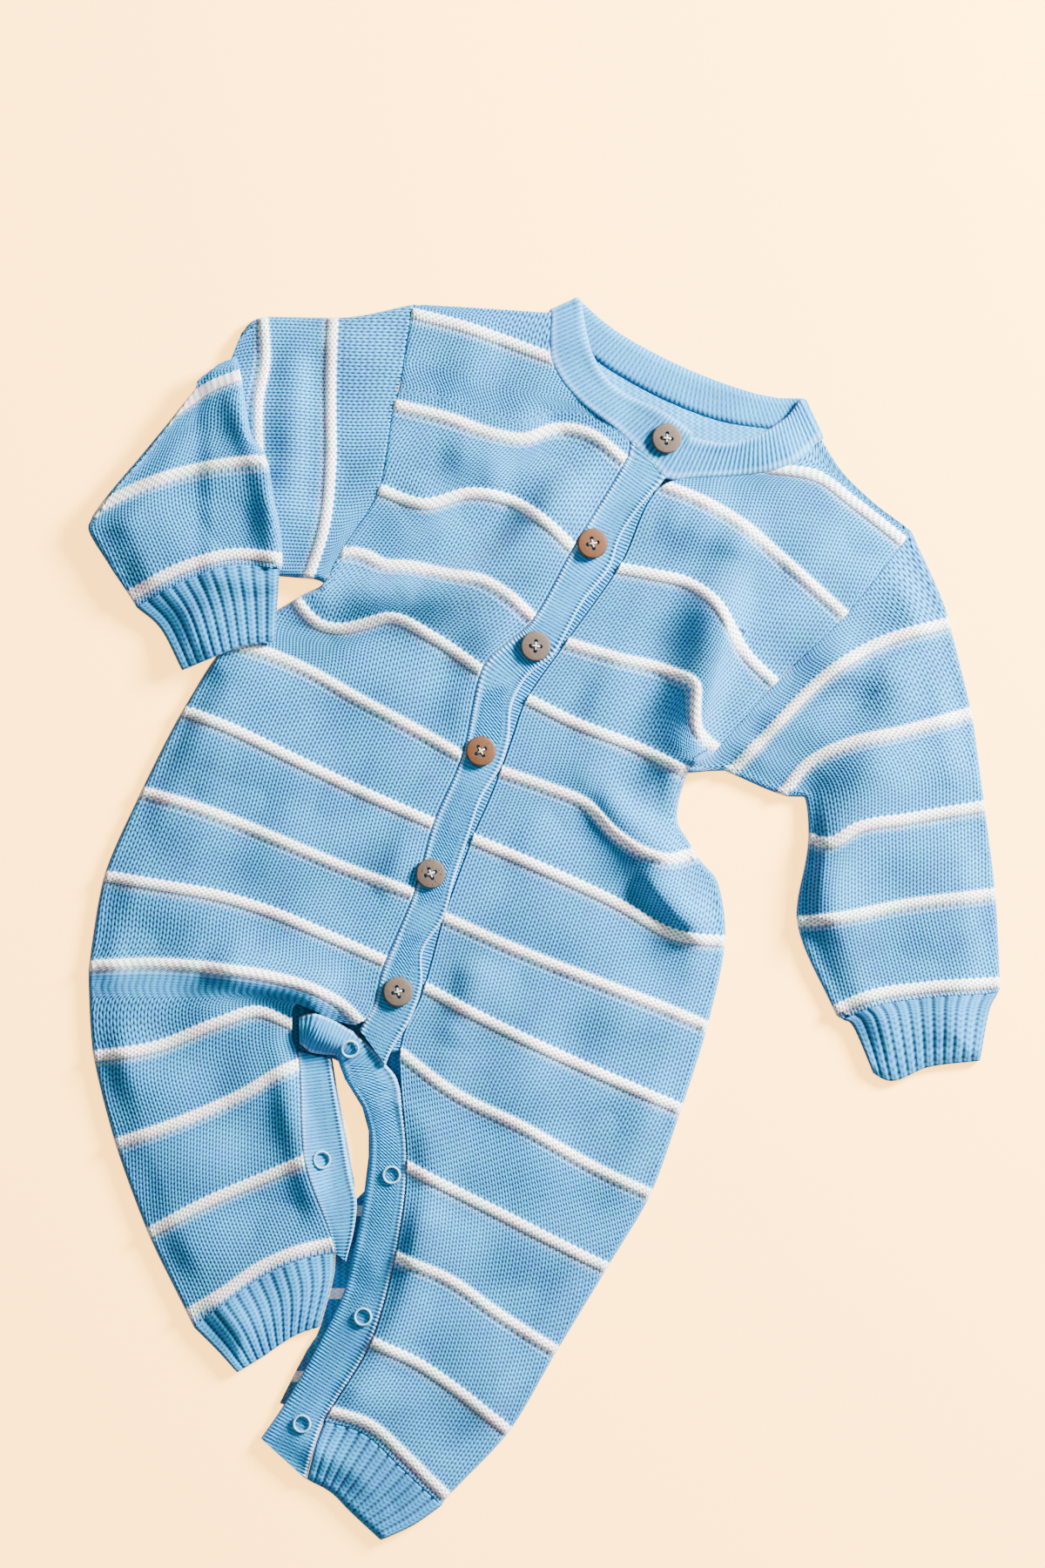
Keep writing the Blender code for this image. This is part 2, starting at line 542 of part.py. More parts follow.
def front_panel(name, panel, drape, wrap, level, material):
    """Front of torso and leg, its side edge rounded down to the floor round the back panel."""
    plan = panel.plan
    edge = plan[:, 0]
    inward = inward_2d(plan, 0, 1)
    low = FRONT_LOW + drape(plan) + level
    high = low + CLOTH * steepness(drape, plan)
    high += WELT_HEIGHT * panel.welt[:, None]
    rim = edge + RIM * inward
    top_rim = FRONT_LOW + drape(rim) + CLOTH + level[:, 0] + WELT_HEIGHT * panel.welt
    foot = (1 - wrap) * (low[:, 0] + 0.3)
    rise = top_rim - foot
    shell = Shell()
    upper = np.stack([
        shell.add(edge, foot),
        shell.add(edge, foot + 0.5 * rise),
        shell.add(edge + (0.2 + 0.5 * wrap)[:, None] * inward, foot + 0.88 * rise),
        shell.add(rim, top_rim)], axis=1)
    upper = np.hstack([upper, shell.add(plan[:, 1:], high[:, 1:])])
    keep = panel.lining
    wall = edge + CLOTH * inward
    lower = np.stack([
        shell.add((edge + (0.4 + (CLOTH - 0.4) * wrap)[:, None] * inward)[keep],
                  ((1 - wrap) * low[:, 0])[keep]),
        shell.add((wall + 0.1 * inward)[keep], (FRONT_LOW + drape(wall) + level[:, 0])[keep])], axis=1)
    lower = np.hstack([lower, shell.add(plan[keep][:, 1:], lining_levels(low, keep)[:, 1:])])
    shell.sheet(upper, lower)
    return shell.finish(name, material)


def flat_tube(name, plan, lining, base, drape, relief, material, blind=False):
    """Sleeve or cuff pressed flat: an upper and a lower wall joined by rounded sides."""
    left, right = plan[:, 0], plan[:, -1]
    in_left, in_right = inward_2d(plan, 0, 1), inward_2d(plan, -1, -2)
    base_grid = base(plan)
    lift = drape(plan)
    tall = 2 * CLOTH + SKIN
    top = base_grid + tall + lift + CLOTH * (steepness(drape, plan) - 1) + relief
    shell = Shell()
    side_left = top[:, 1] - base_grid[:, 0]
    side_right = top[:, -2] - base_grid[:, -1]
    floor_stops = np.linspace(0, 1, 6)[1:-1][::-1]
    columns = np.linspace(0, 1, plan.shape[1])
    floor_plan = np.stack([hermite(columns, row, floor_stops) for row in plan])
    ends_left = [shell.add(left + 0.9 * in_left, base_grid[:, 0]),
                 shell.add(left, base_grid[:, 0] + 0.28 * side_left),
                 shell.add(left + 0.1 * in_left, base_grid[:, 0] + 0.66 * side_left),
                 shell.add(left + 1.3 * in_left, base_grid[:, 0] + 0.94 * side_left)]
    ends_right = [shell.add(right + 1.3 * in_right, base_grid[:, -1] + 0.94 * side_right),
                  shell.add(right + 0.1 * in_right, base_grid[:, -1] + 0.66 * side_right),
                  shell.add(right, base_grid[:, -1] + 0.28 * side_right),
                  shell.add(right + 0.9 * in_right, base_grid[:, -1])]
    outer = np.hstack([np.stack(ends_left, axis=1), shell.add(plan[:, 1:-1], top[:, 1:-1]),
                       np.stack(ends_right, axis=1), shell.add(floor_plan, base(floor_plan))])
    step = max(1, plan.shape[1] // 12)
    picks = np.arange(step, plan.shape[1] - 1, step)
    keep = lining[:-2] if blind else lining
    inner_left = left + 2.3 * in_left
    inner_right = right + 2.3 * in_right
    low = base_grid + CLOTH + SKIN + lift
    inner = np.hstack([
        shell.add(inner_left[keep], (base(inner_left) + CLOTH)[keep])[:, None],
        shell.add(inner_left[keep], (base(inner_left) + CLOTH + SKIN + drape(inner_left))[keep])[:, None],
        shell.add(plan[keep][:, picks], lining_levels(low, keep)[:, picks]),
        shell.add(inner_right[keep],
                  (base(inner_right) + CLOTH + SKIN + drape(inner_right))[keep])[:, None],
        shell.add(inner_right[keep], (base(inner_right) + CLOTH)[keep])[:, None],
        shell.add(floor_plan[keep], (base(floor_plan) + CLOTH)[keep])])
    ties = [(0, 0), (3 + picks[0], 2), (3 + picks[-1], 1 + len(picks)),
            (plan.shape[1] + 5, 3 + len(picks))]
    shell.tube(outer, inner, ties, blind)
    return shell.finish(name, material)


def strip(name, left, right, low, arch, material):
    """Band of knitting between two plan lines, arched by a height at each section, its edges thinner."""
    shares = np.array(BAND_SHARES)
    plan = left[:, None] + shares[None, :, None] * (right - left)[:, None]
    low_grid = low(plan) + np.asarray(arch)[:, None] * np.sin(math.pi * shares) ** 0.8
    shell = Shell()
    upper = shell.add(plan, low_grid + np.array(BAND_CROWN))
    lower = shell.add(plan, low_grid)
    shell.sheet(upper, lower)
    return shell.finish(name, material)


def neckband(panels, drape, material):
    """Collar strip: right half over the button, round the back at the floor, and the left half."""
    right, left = panels
    columns = COLUMNS - 1
    seam = np.vstack([offset(right.edge(columns, 0.05, RIGHT_NECK, 9), -ARM_SEAM), NECK_END[1:]])
    free = curve(NECK_RIGHT_EDGE, len(seam))
    layer = FRONT_LOW + (BAND_LOW - FRONT_LOW) * smooth(np.linspace(-0.4, 1.3, len(seam)))
    sections = []
    for a, b, low in reversed(list(zip(seam, free, layer))):
        sections.append((a, b, low + CLOTH / 2, 1.0, 0.0))
    turn = (FRONT_LOW + CLOTH / 2 - CLOTH / 2) / 2
    back_seam = curve(NECK_BACK_SEAM, 12)[::-1]
    back_free = curve(NECK_BACK_EDGE, 12)[::-1]
    left_seam = curve(offset(left.edge(columns, 0.05, 1.9, 20), ARM_SEAM), 14)
    left_free = curve(NECK_LEFT_EDGE, 14)
    for a, b, out in ((seam[0], free[0], np.array([-0.37, 0.93])),
                      (left_seam[0], left_free[0], np.array([0.87, 0.49]))):
        bends = []
        for angle in (45, 90, 135):
            away = 0.5 + turn * math.sin(math.radians(angle))
            height = CLOTH / 2 + turn * (1 + math.cos(math.radians(angle)))
            bends.append((a + away * out, b + away * out, height, math.cos(math.radians(angle)),
                          math.sin(math.radians(angle)), out))
        if out[0] < 0:
            sections += bends
            sections += [(p, q, CLOTH / 2, -1.0, 0.0) for p, q in zip(back_seam[1:-1], back_free[1:-1])]
        else:
            sections += bends[::-1]
    sections += [(a, b, FRONT_LOW + CLOTH / 2, 1.0, 0.0) for a, b in zip(left_seam, left_free)]
    shell = Shell()
    faces = {1: [], -1: []}
    for section in sections:
        a, b, height, up, sideways = section[:5]
        out = section[5] if len(section) > 5 else np.zeros(2)
        plan = np.array([a + share * (b - a) for share in (0.0, 0.5, 1.0)])
        lift = drape(plan) * (up > 0.5)
        for face, reach in ((1, CLOTH / 2), (-1, -CLOTH / 2 * (1 - 0.35 * sideways))):
            shift = plan + reach * sideways * out
            faces[face].append(shell.add(shift, height + lift + reach * up))
    shell.sheet(np.array(faces[1]), np.array(faces[-1]))
    return shell.finish("neckband", material)


def back_panel(right, left, material):
    """Back of torso and legs, a flat wall that lies on the floor inside the fronts' side edges."""
    side_gap = CLOTH + SKIN + 1.2
    last_right = len(RIGHT_ROWS) - 1
    last_left = len(LEFT_ROWS) - 1
    right_arm = seam_line(right.edge(0, 0, RIGHT_UNDERARM - 0.4, 16), (0, 100), ARM_SEAM)
    right_side = offset(right.edge(0, RIGHT_UNDERARM + 0.3, last_right, 36), -side_gap)
    snap_right, snap_left = np.array(SNAP_RIGHT_EDGE[::-1], float), np.array(SNAP_LEFT_EDGE[:6], float)
    touching = offset(snap_right, -1.2)[1:3]     # below the opening the legs lie side by side
    right_inner = np.vstack([touching, offset(snap_right, 0.7)[3:]])
    cuff_side = np.array([right.lines[-1][-1]] + [row[-1] for row in CUFF_ROWS["cuff_leg_right"]], float)
    spur = hermite(np.arange(3.0), cuff_side, np.linspace(0, 2, 5)) + (0.6, 0.0)
    left_inner = np.vstack([offset(snap_left, 0.7), touching[::-1] + (0.4, 0.0), spur, BACK_SPUR])
    left_side = offset(left.edge(0, last_left, LEFT_UNDERARM + 0.3, 44), -side_gap)
    left_arm = seam_line(left.edge(0, LEFT_UNDERARM - 0.4, 0, 16), (0, 100), ARM_SEAM)
    neck = offset(curve(NECK_BACK_SEAM, 12), -SEAM)[1:-1]
    outline = np.vstack([right_arm, right_side, right.lines[-1][1:], right_inner, left_inner,
                         left.lines[-1][::-1][:-1], left_side, left_arm, left.lines[0][1:-1:3], neck])
    shell = Shell()
    upper = shell.add(outline, BACK_TOP)
    lower = shell.add(outline, 0.0)
    shell.faces.append(tuple(upper))
    shell.faces.append(tuple(lower[::-1]))
    shell.grid(np.stack([upper, lower]), closed=True)
    return shell.finish("back", material)


def seam_line(line, toward, gap=SEAM):
    """Plan line moved by the seam gap towards a point or another line."""
    side = normals_2d(line)
    if side.mean(axis=0) @ (np.reshape(toward, (-1, 2)).mean(axis=0) - line.mean(axis=0)) < 0:
        side = -side
    return line + gap * side


def on_floor(xy):
    """Level of a piece that lies on the floor."""
    return np.zeros(xy.shape[:-1])


def cuff(name, hem, rows, base, drape, material):
    """Ribbed cuff, pressed flat, hanging from the hem of the piece above."""
    ribs = int(round(np.linalg.norm(np.subtract(rows[0][-1], rows[0][0])) / RIB_PITCH))
    columns = 2 * ribs + 1
    lines = [curve(seam_line(hem, rows[0], ARM_SEAM), columns)] + [curve(row, columns) for row in rows]
    plan = hermite(np.arange(3.0), np.array(lines), np.linspace(0, 2, 4))
    relief = np.zeros(plan.shape[:2])
    relief[:, 1::2] = RIB_HEIGHT
    return flat_tube(name, plan, np.arange(len(plan)), base, drape, relief, material)


def union(piece, other):
    """Join another closed body into a piece."""
    modifier = piece.modifiers.new("join", "BOOLEAN")
    modifier.operation = "UNION"
    modifier.solver = "EXACT"
    modifier.object = other
    apply_modifiers(piece)
    bpy.data.objects.remove(other, do_unlink=True)


def apply_modifiers(piece):
    """Replace a piece's mesh by the one its modifiers make."""
    depsgraph = bpy.context.evaluated_depsgraph_get()
    mesh = bpy.data.meshes.new_from_object(piece.evaluated_get(depsgraph))
    piece.modifiers.clear()
    piece.data = mesh


class Forearm:
    """Levels of the forearm, folded at the elbow over the upper arm and the torso's edge."""

    def __init__(self, torso, drape):
        self.torso = torso
        self.drape = drape

    def under(self, xy):
        """Level on which the forearm and its cuff lie."""
        flat = np.asarray(xy, float).reshape(-1, 2)
        below = np.maximum(inside_distance(flat, self.torso), inside_distance(flat, np.array(UPPER_ARM)))
        away = np.clip(-np.maximum(below, inside_distance(flat, np.array(ELBOW))), 0, None)
        lift = self.drape(flat)
        beside = CLOTH * 2 + 2 * SKIN + lift - 4.3 * smooth((away - 4) / 26)
        above = FRONT_LOW + CLOTH + WELT_HEIGHT + 2 * SKIN + lift
        cover = smooth((below + 10) / 9)
        return (beside + cover * (above - beside)).reshape(np.asarray(xy).shape[:-1])

    def low(self, xy):
        """Underside: on the floor where the elbow's lower layer is folded in, else on the layer below."""
        flat = np.asarray(xy, float).reshape(-1, 2)
        away = -inside_distance(flat, np.array(ELBOW))
        return (smooth(away / 5) * self.under(flat)).reshape(np.asarray(xy).shape[:-1])

    def folds(self, xy):
        """Small creases of the forearm."""
        flat = np.asarray(xy, float).reshape(-1, 2)
        return fold_height(flat, FOREARM_FOLDS).reshape(np.asarray(xy).shape[:-1])


def forearm_body(panel, forearm, material):
    """Forearm as one rounded body with a groove round the elbow between its two layers."""
    plan = panel.plan
    low = forearm.low(plan)
    top = forearm.under(plan) + 2 * CLOTH + SKIN + forearm.folds(plan) + WELT_HEIGHT * panel.welt[:, None]
    folded = smooth(1 - low / 3)
    tight = np.minimum(((plan[:, 1] - plan[:, 0]) * inward_2d(plan, 0, 1)).sum(axis=1) / 2.5, 1.0)
    shell = Shell()
    sides = []
    for edge, nearest, levels in ((0, 1, SIDE_LEVELS), (-1, -2, SIDE_LEVELS[::-1])):
        inward = inward_2d(plan, edge, nearest)
        foot = low[:, edge] + (0.0 if edge == 0 else 1.0) * folded[:, edge]
        rise = top[:, nearest] - foot
        for share, inset, groove in levels:
            reach = tight * (inset + groove * (folded[:, edge] if edge == 0 else 0))
            sides.append(shell.add(plan[:, edge] + np.reshape(reach, (-1, 1)) * inward, foot + share * rise))
    half = len(SIDE_LEVELS)
    floor = shell.add(plan[:, 1:-1][:, ::-1], low[:, 1:-1][:, ::-1])
    ring = np.hstack([np.stack(sides[:half], axis=1), shell.add(plan[:, 1:-1], top[:, 1:-1]),
                      np.stack(sides[half:], axis=1), floor])
    shell.grid(ring, closed=True)
    for end in (0, -1):
        shell.cap(ring[end], ring.shape[1] - plan.shape[1] + 2)
    return shell.finish("forearm", material)


def band_between(left, right, count):
    """Two plan lines with the same number of points."""
    return curve(left, count), curve(right, count)


def lathe(name, profile, sides, centre_fill, material):
    """Round piece from a profile of radius and height, closed in itself or by flat ends."""
    shell = Shell()
    angles = np.arange(sides) / sides * 2 * math.pi
    circle = np.stack([np.cos(angles), np.sin(angles)], axis=1)
    rings = np.stack([shell.add(radius * circle, height) for radius, height in profile])
    if centre_fill:
        shell.grid(rings, closed=True)
        shell.faces.append(tuple(rings[0][::-1]))
        shell.faces.append(tuple(rings[-1]))
    else:
        shell.grid(np.vstack([rings, rings[:1]]), closed=True)
    return shell.finish(name, material)


def lay_on(piece, supports, at, radius):
    """Tilt and lift a round piece so that it rests on the cloth below it."""
    trees = [BVHTree.FromObject(support, bpy.context.evaluated_depsgraph_get()) for support in supports]
    angles = np.arange(12) / 12 * 2 * math.pi
    spots = [(0.0, 0.0)] + [(share * radius * math.cos(angle), share * radius * math.sin(angle))
                            for share in (0.5, 1.0) for angle in angles]
    hits = []
    for x, y in spots:
        start = Vector(((at[0] + x) * MM, (at[1] + y) * MM, 0.1))
        for tree in trees:
            place = tree.ray_cast(start, Vector((0, 0, -1)))[0]
            if place is not None:
                hits.append((x, y, place.z / MM))
    hits = np.array(hits)
    plane = np.linalg.lstsq(np.c_[hits[:, :2], np.ones(len(hits))], hits[:, 2], rcond=None)[0]
    over = (hits[:, 2] - np.c_[hits[:, :2], np.ones(len(hits))] @ plane).max()
    normal = Vector((-plane[0], -plane[1], 1.0)).normalized()
    turn = Vector((0, 0, 1)).rotation_difference(normal).to_matrix().to_4x4()
    place = Matrix.Translation(Vector((at[0], at[1], plane[2] + over + SKIN)) * MM)
    piece.data.transform(place @ turn)


def make_button(name, at, spin, supports, material, cutter_material):
    """Flat four-hole wooden button with rounded edges, resting on the band."""
    button = lathe(name, BUTTON_PROFILE, 18, True, material)
    for quarter in range(4):
        angle = spin + quarter * math.pi / 2
        hole = lathe("hole", [(BUTTON_HOLE, -1.0), (BUTTON_HOLE, BUTTON_THICK + 1)], 6, True,
                     cutter_material)
        hole.data.transform(Matrix.Translation(Vector((math.cos(angle), math.sin(angle), 0))
                                               * BUTTON_HOLE_OFFSET * MM))
        modifier = button.modifiers.new("hole", "BOOLEAN")
        modifier.operation = "DIFFERENCE"
        modifier.solver = "EXACT"
        modifier.object = hole
        apply_modifiers(button)
        bpy.data.objects.remove(hole, do_unlink=True)
    lay_on(button, supports, at, BUTTON_RADIUS)
    return button


def make_snap(name, at, supports, material):
    """Socket ring of a snap, resting on its band."""
    snap = lathe(name, SNAP_PROFILE, 14, False, material)
    lay_on(snap, supports, at, SNAP_RADIUS)
    return snap


def centre_on_floor():
    """Move every piece so that the garment's box stands centred on the origin."""
    pieces = list(bpy.data.objects)
    corners = np.array([vertex.co for piece in pieces for vertex in piece.data.vertices])
    middle = (corners.min(axis=0) + corners.max(axis=0)) / 2
    for piece in pieces:
        piece.data.transform(Matrix.Translation(Vector((-middle[0], -middle[1], -corners[:, 2].min()))))


def main():
    """Build every piece of the romper."""
    clear_scene()
    knit = make_material("blue_knit", (0.23, 0.47, 0.66), 0.95)
    rib = make_material("blue_rib", (0.25, 0.49, 0.68), 0.95)
    wood = make_material("button_wood", (0.36, 0.25, 0.18), 0.55)
    plastic = make_material("snap_plastic", (0.75, 0.86, 0.93), 0.25)
    drape = Drape(np.array(SILHOUETTE, float), FOLDS)
    right = Panel(RIGHT_ROWS, COLUMNS, 2)
    left = Panel(LEFT_ROWS, COLUMNS, 2)
    inner = COLUMNS - 1
    last_right, last_left = len(RIGHT_ROWS) - 1, len(LEFT_ROWS) - 1

    placket = right.edge(inner, RIGHT_NECK, RIGHT_CROTCH - 0.2, 60)
    distance = line_distance(right.plan.reshape(-1, 2), placket)[0].reshape(right.plan.shape[:2])
    level = (BAND_LOW - FRONT_LOW) * smooth(1 - distance / PLACKET_RAMP)
    front_a = front_panel("front_right", right, drape, smooth((right.stops - RIGHT_UNDERARM) / 0.4), level, knit)
    front_b = front_panel("front_left", left, drape, smooth((left.stops - LEFT_UNDERARM) / 0.4),
                          np.zeros(left.plan.shape[:2]), knit)
    back_panel(right, left, knit)

    armhole = seam_line(left.edge(0, LEFT_UNDERARM, 0, 10), LEFT_SLEEVE_ROWS[0][1], ARM_SEAM)
    sleeve = Panel(LEFT_SLEEVE_ROWS, 8, 2, armhole)
    flat_tube("sleeve_left", sleeve.plan, sleeve.lining, on_floor, drape,
              WELT_HEIGHT * sleeve.welt[:, None] * np.ones(8), knit)
    cuff("cuff_sleeve_left", sleeve.lines[-1], CUFF_ROWS["cuff_sleeve_left"], on_floor, drape, rib)

    armhole = seam_line(right.edge(0, RIGHT_UNDERARM, 0, 10), RIGHT_SLEEVE_ROWS[0][1],
                        ARM_SEAM)
    upper = Panel(RIGHT_SLEEVE_ROWS, 8, 2, armhole)
    sleeve = flat_tube("sleeve_right", upper.plan, upper.lining, on_floor, drape,
                       WELT_HEIGHT * upper.welt[:, None] * np.ones(8), knit, blind=True)
    torso = np.vstack([right.edge(0, RIGHT_UNDERARM, last_right, 40), [(-60, -100), (-20, 150)]])
    forearm = Forearm(torso, drape)
    lower = Panel(FOREARM_ROWS, 8, 1)
    union(sleeve, forearm_body(lower, forearm, knit))
    cuff("cuff_sleeve_right", lower.lines[-1], CUFF_ROWS["cuff_sleeve_right"], forearm.under,
         lambda xy: on_floor(xy) + 0.7, rib)

    cuff("cuff_leg_right", right.lines[-1], CUFF_ROWS["cuff_leg_right"], on_floor, drape, rib)
    cuff("cuff_leg_left", left.lines[-1], CUFF_ROWS["cuff_leg_left"], on_floor, drape, rib)
    collar = neckband((right, left), drape, rib)

    edge_left, edge_right = band_between(seam_line(placket, BAND_FREE_EDGE, ARM_SEAM),
                                          BAND_FREE_EDGE, 26)
    top_band = strip("button_band_top", edge_left, edge_right, lambda xy: BAND_LOW + drape(xy),
                     np.zeros(26), rib)
    edge_right = seam_line(left.edge(inner, LEFT_NECK, LEFT_CROTCH, 18), placket, ARM_SEAM)
    edge_left = edge_right + BAND_UNDER_WIDTH * normals_2d(edge_right)
    strip("button_band_under", edge_left, edge_right, lambda xy: FRONT_LOW + drape(xy), np.zeros(18), rib)

    outer = seam_line(right.edge(inner, RIGHT_LEG + 0.8, last_right, 14), SNAP_RIGHT_EDGE)
    edge_left, edge_right = band_between(outer, SNAP_RIGHT_EDGE, 14)
    snap_right = strip("snap_band_right", edge_left, edge_right, lambda xy: FRONT_LOW + drape(xy),
                       np.zeros(14), rib)
    outer = np.vstack([left.edge(inner, LEFT_CROTCH + 0.3, last_left, 16), [(-105, -240), (-109, -256)]])
    edge_left, edge_right = band_between(SNAP_LEFT_EDGE, seam_line(outer, SNAP_LEFT_EDGE, ARM_SEAM), 20)
    roll = np.array(CROTCH_ROLL, float)
    arch = np.concatenate([roll[:, 4], np.zeros(19)])
    edge_left = np.vstack([roll[:, :2], edge_left[1:]])
    edge_right = np.vstack([roll[:, 2:4], edge_right[1:]])
    snap_left = strip("snap_band_left", edge_left, edge_right, lambda xy: FRONT_LOW + drape(xy), arch,
                      rib)

    for number, (at, spin) in enumerate(zip(BUTTONS, BUTTON_SPINS)):
        supports = [collar, top_band] if number == 0 else [top_band, front_a, front_b]
        make_button(f"button_{number + 1}", at, math.radians(spin), supports, wood, rib)
    for number, at in enumerate(SNAPS):
        support = snap_right if number == 1 else snap_left
        make_snap(f"snap_{number + 1}", at, [support], plastic)
    centre_on_floor()


if __name__ == "__main__":
    main()
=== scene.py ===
"""Looks of the knitted baby romper: stitch-by-stitch cloth, ribbed bands, buttons, snaps and the stage."""
import json
import math

import bmesh
import bpy
import numpy as np
from mathutils import Matrix, Vector

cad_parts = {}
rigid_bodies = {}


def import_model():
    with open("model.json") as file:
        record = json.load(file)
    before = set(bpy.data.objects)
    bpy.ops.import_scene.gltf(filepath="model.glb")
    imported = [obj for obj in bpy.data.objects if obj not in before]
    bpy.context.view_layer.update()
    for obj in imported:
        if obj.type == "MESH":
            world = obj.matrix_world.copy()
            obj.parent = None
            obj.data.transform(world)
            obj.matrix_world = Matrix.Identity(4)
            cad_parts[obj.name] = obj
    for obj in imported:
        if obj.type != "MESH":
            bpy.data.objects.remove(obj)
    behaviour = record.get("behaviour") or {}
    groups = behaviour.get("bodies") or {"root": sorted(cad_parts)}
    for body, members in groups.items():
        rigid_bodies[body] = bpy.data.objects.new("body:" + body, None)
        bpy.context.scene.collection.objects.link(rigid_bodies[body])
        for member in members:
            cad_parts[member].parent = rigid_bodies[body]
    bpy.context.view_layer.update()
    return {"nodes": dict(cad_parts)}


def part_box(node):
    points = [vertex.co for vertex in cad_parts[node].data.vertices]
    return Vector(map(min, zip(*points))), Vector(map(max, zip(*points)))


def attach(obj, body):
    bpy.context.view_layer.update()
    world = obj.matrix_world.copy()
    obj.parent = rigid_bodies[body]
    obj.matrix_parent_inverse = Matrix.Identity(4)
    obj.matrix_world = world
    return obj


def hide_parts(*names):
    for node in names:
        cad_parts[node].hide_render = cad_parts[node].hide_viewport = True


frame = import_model()

bl_info = {
    "name": "Knitted baby romper",
    "version": (1, 0, 0),
    "blender": (4, 5, 0),
    "location": "3D View > Sidebar > Romper",
    "description": "Builds the knitted pieces, buttons, snaps and stage of a laid-flat baby romper",
    "category": "Add Mesh",
}

MM = 0.001
MIDDLE = (-0.122, 1.232)     # the garment's middle in the pattern tables, which the origin stands on
SKIN = 0.3                   # air between two layers
SEAM = 0.06                  # gap between neighbours along a straight seam
ARM_SEAM = 0.08              # and along an armhole or another curved seam
WELT_HALF = 2.4              # half the width of a white stripe
RIM = 2.6                    # how far the rounded side edge reaches into a panel
FOLD_GAIN = 1.3              # how much higher the folds stand here than in the plain CAD cloth
PUFF = 1.8                   # how far the pressed cloth stands up away from its outline
PUFF_RUN = 16.0              # and over what distance from the outline it rises
PLACKET_RAMP = 20.0          # width over which the right front climbs on to the under band
PATTERN_COLUMNS = 33         # points of each pattern line
WELT_KEY = 0.06              # half a stripe's share of the step from one pattern line to the next
RASTER = (-240, -310), (240, 310)    # corners of the plan over which heights are kept
LINING_STEP = 6              # fine rows for each row of a plain lining
# How far each point of a stripe's line follows a slanting side edge: fully at the edge, less within
SLANTED_ENDS = np.clip(1 - np.arange(PATTERN_COLUMNS) / 10, 0, 1)

STRIPE, PLAIN = 1, 0

# Pattern tables, millimetres. Right front: kind, then points from the arm or side edge to the placket
RIGHT_ROWS = [
    (PLAIN, [(-60, 283), (-26, 281), (3, 279)]),
    (STRIPE, [(-61, 279), (-38, 273), (-18, 266), (3, 258)]),
    (PLAIN, [(-64, 260), (-42, 255), (-20, 247), (-4, 243), (14, 240)]),
    (PLAIN, [(-67, 243), (-43, 238), (-21, 230), (-9, 228), (7, 233), (21, 231), (39, 219)]),
    (STRIPE, [(-69, 237), (-45, 231), (-22, 223), (-10, 221), (6, 226), (19, 224), (37, 211)]),
    (STRIPE, [(-76, 198), (-55, 191), (-34, 196), (-16, 193), (2, 181), (13, 171)]),
    (STRIPE, [(-93, 170), (-82, 168), (-74, 164), (-62, 163), (-44, 159), (-28, 156), (-16, 149),
              (-5, 139)]),
    (PLAIN, [(-101, 155), (-88, 152), (-70, 151), (-46, 145), (-18, 127)]),
    (STRIPE, [(-114, 148), (-109, 141), (-103, 136), (-94, 134), (-83, 136), (-71, 139), (-51, 130),
              (-29, 115)]),
    (STRIPE, [(-145, 128), (-136, 126), (-112, 117), (-85, 102), (-59, 88), (-38, 76)]),
    (STRIPE, [(-166, 97), (-145, 89), (-118, 76), (-85, 60), (-51, 45)]),
    (STRIPE, [(-185, 60), (-158, 52), (-125, 39), (-92, 25), (-60, 13)]),
    (STRIPE, [(-202, 21), (-178, 17), (-150, 12), (-124, 4), (-98, -7), (-73, -18)]),
    (STRIPE, [(-209, -20), (-178, -19), (-150, -21), (-124, -25), (-104, -31), (-92, -38), (-84, -46)]),
    (PLAIN, [(-209, -36), (-178, -36), (-152, -35), (-132, -34), (-112, -37)]),
    (STRIPE, [(-207, -62), (-177, -57), (-149, -46), (-131, -41), (-115.5, -47)]),
    (STRIPE, [(-197, -102), (-163, -90), (-135, -77), (-122, -69), (-112.5, -65)]),
    (STRIPE, [(-182, -143), (-156, -129), (-128, -117), (-110, -109)]),
    (STRIPE, [(-164, -180), (-149, -171), (-130, -158), (-114, -151), (-97, -147)]),
    (PLAIN, [(-161, -186), (-147, -175), (-128, -162), (-112, -155), (-96, -152)]),
]
# Its rows at the end of the neck, the underarm, the crotch and the leg opening
RIGHT_NECK, RIGHT_UNDERARM, RIGHT_CROTCH, RIGHT_LEG = 3, 7, 13, 15
RIGHT_NECK_CUT = [(0, 50), (1, 45), (2, 30), (3, 0)]     # row, length of stitches cut off by the neck

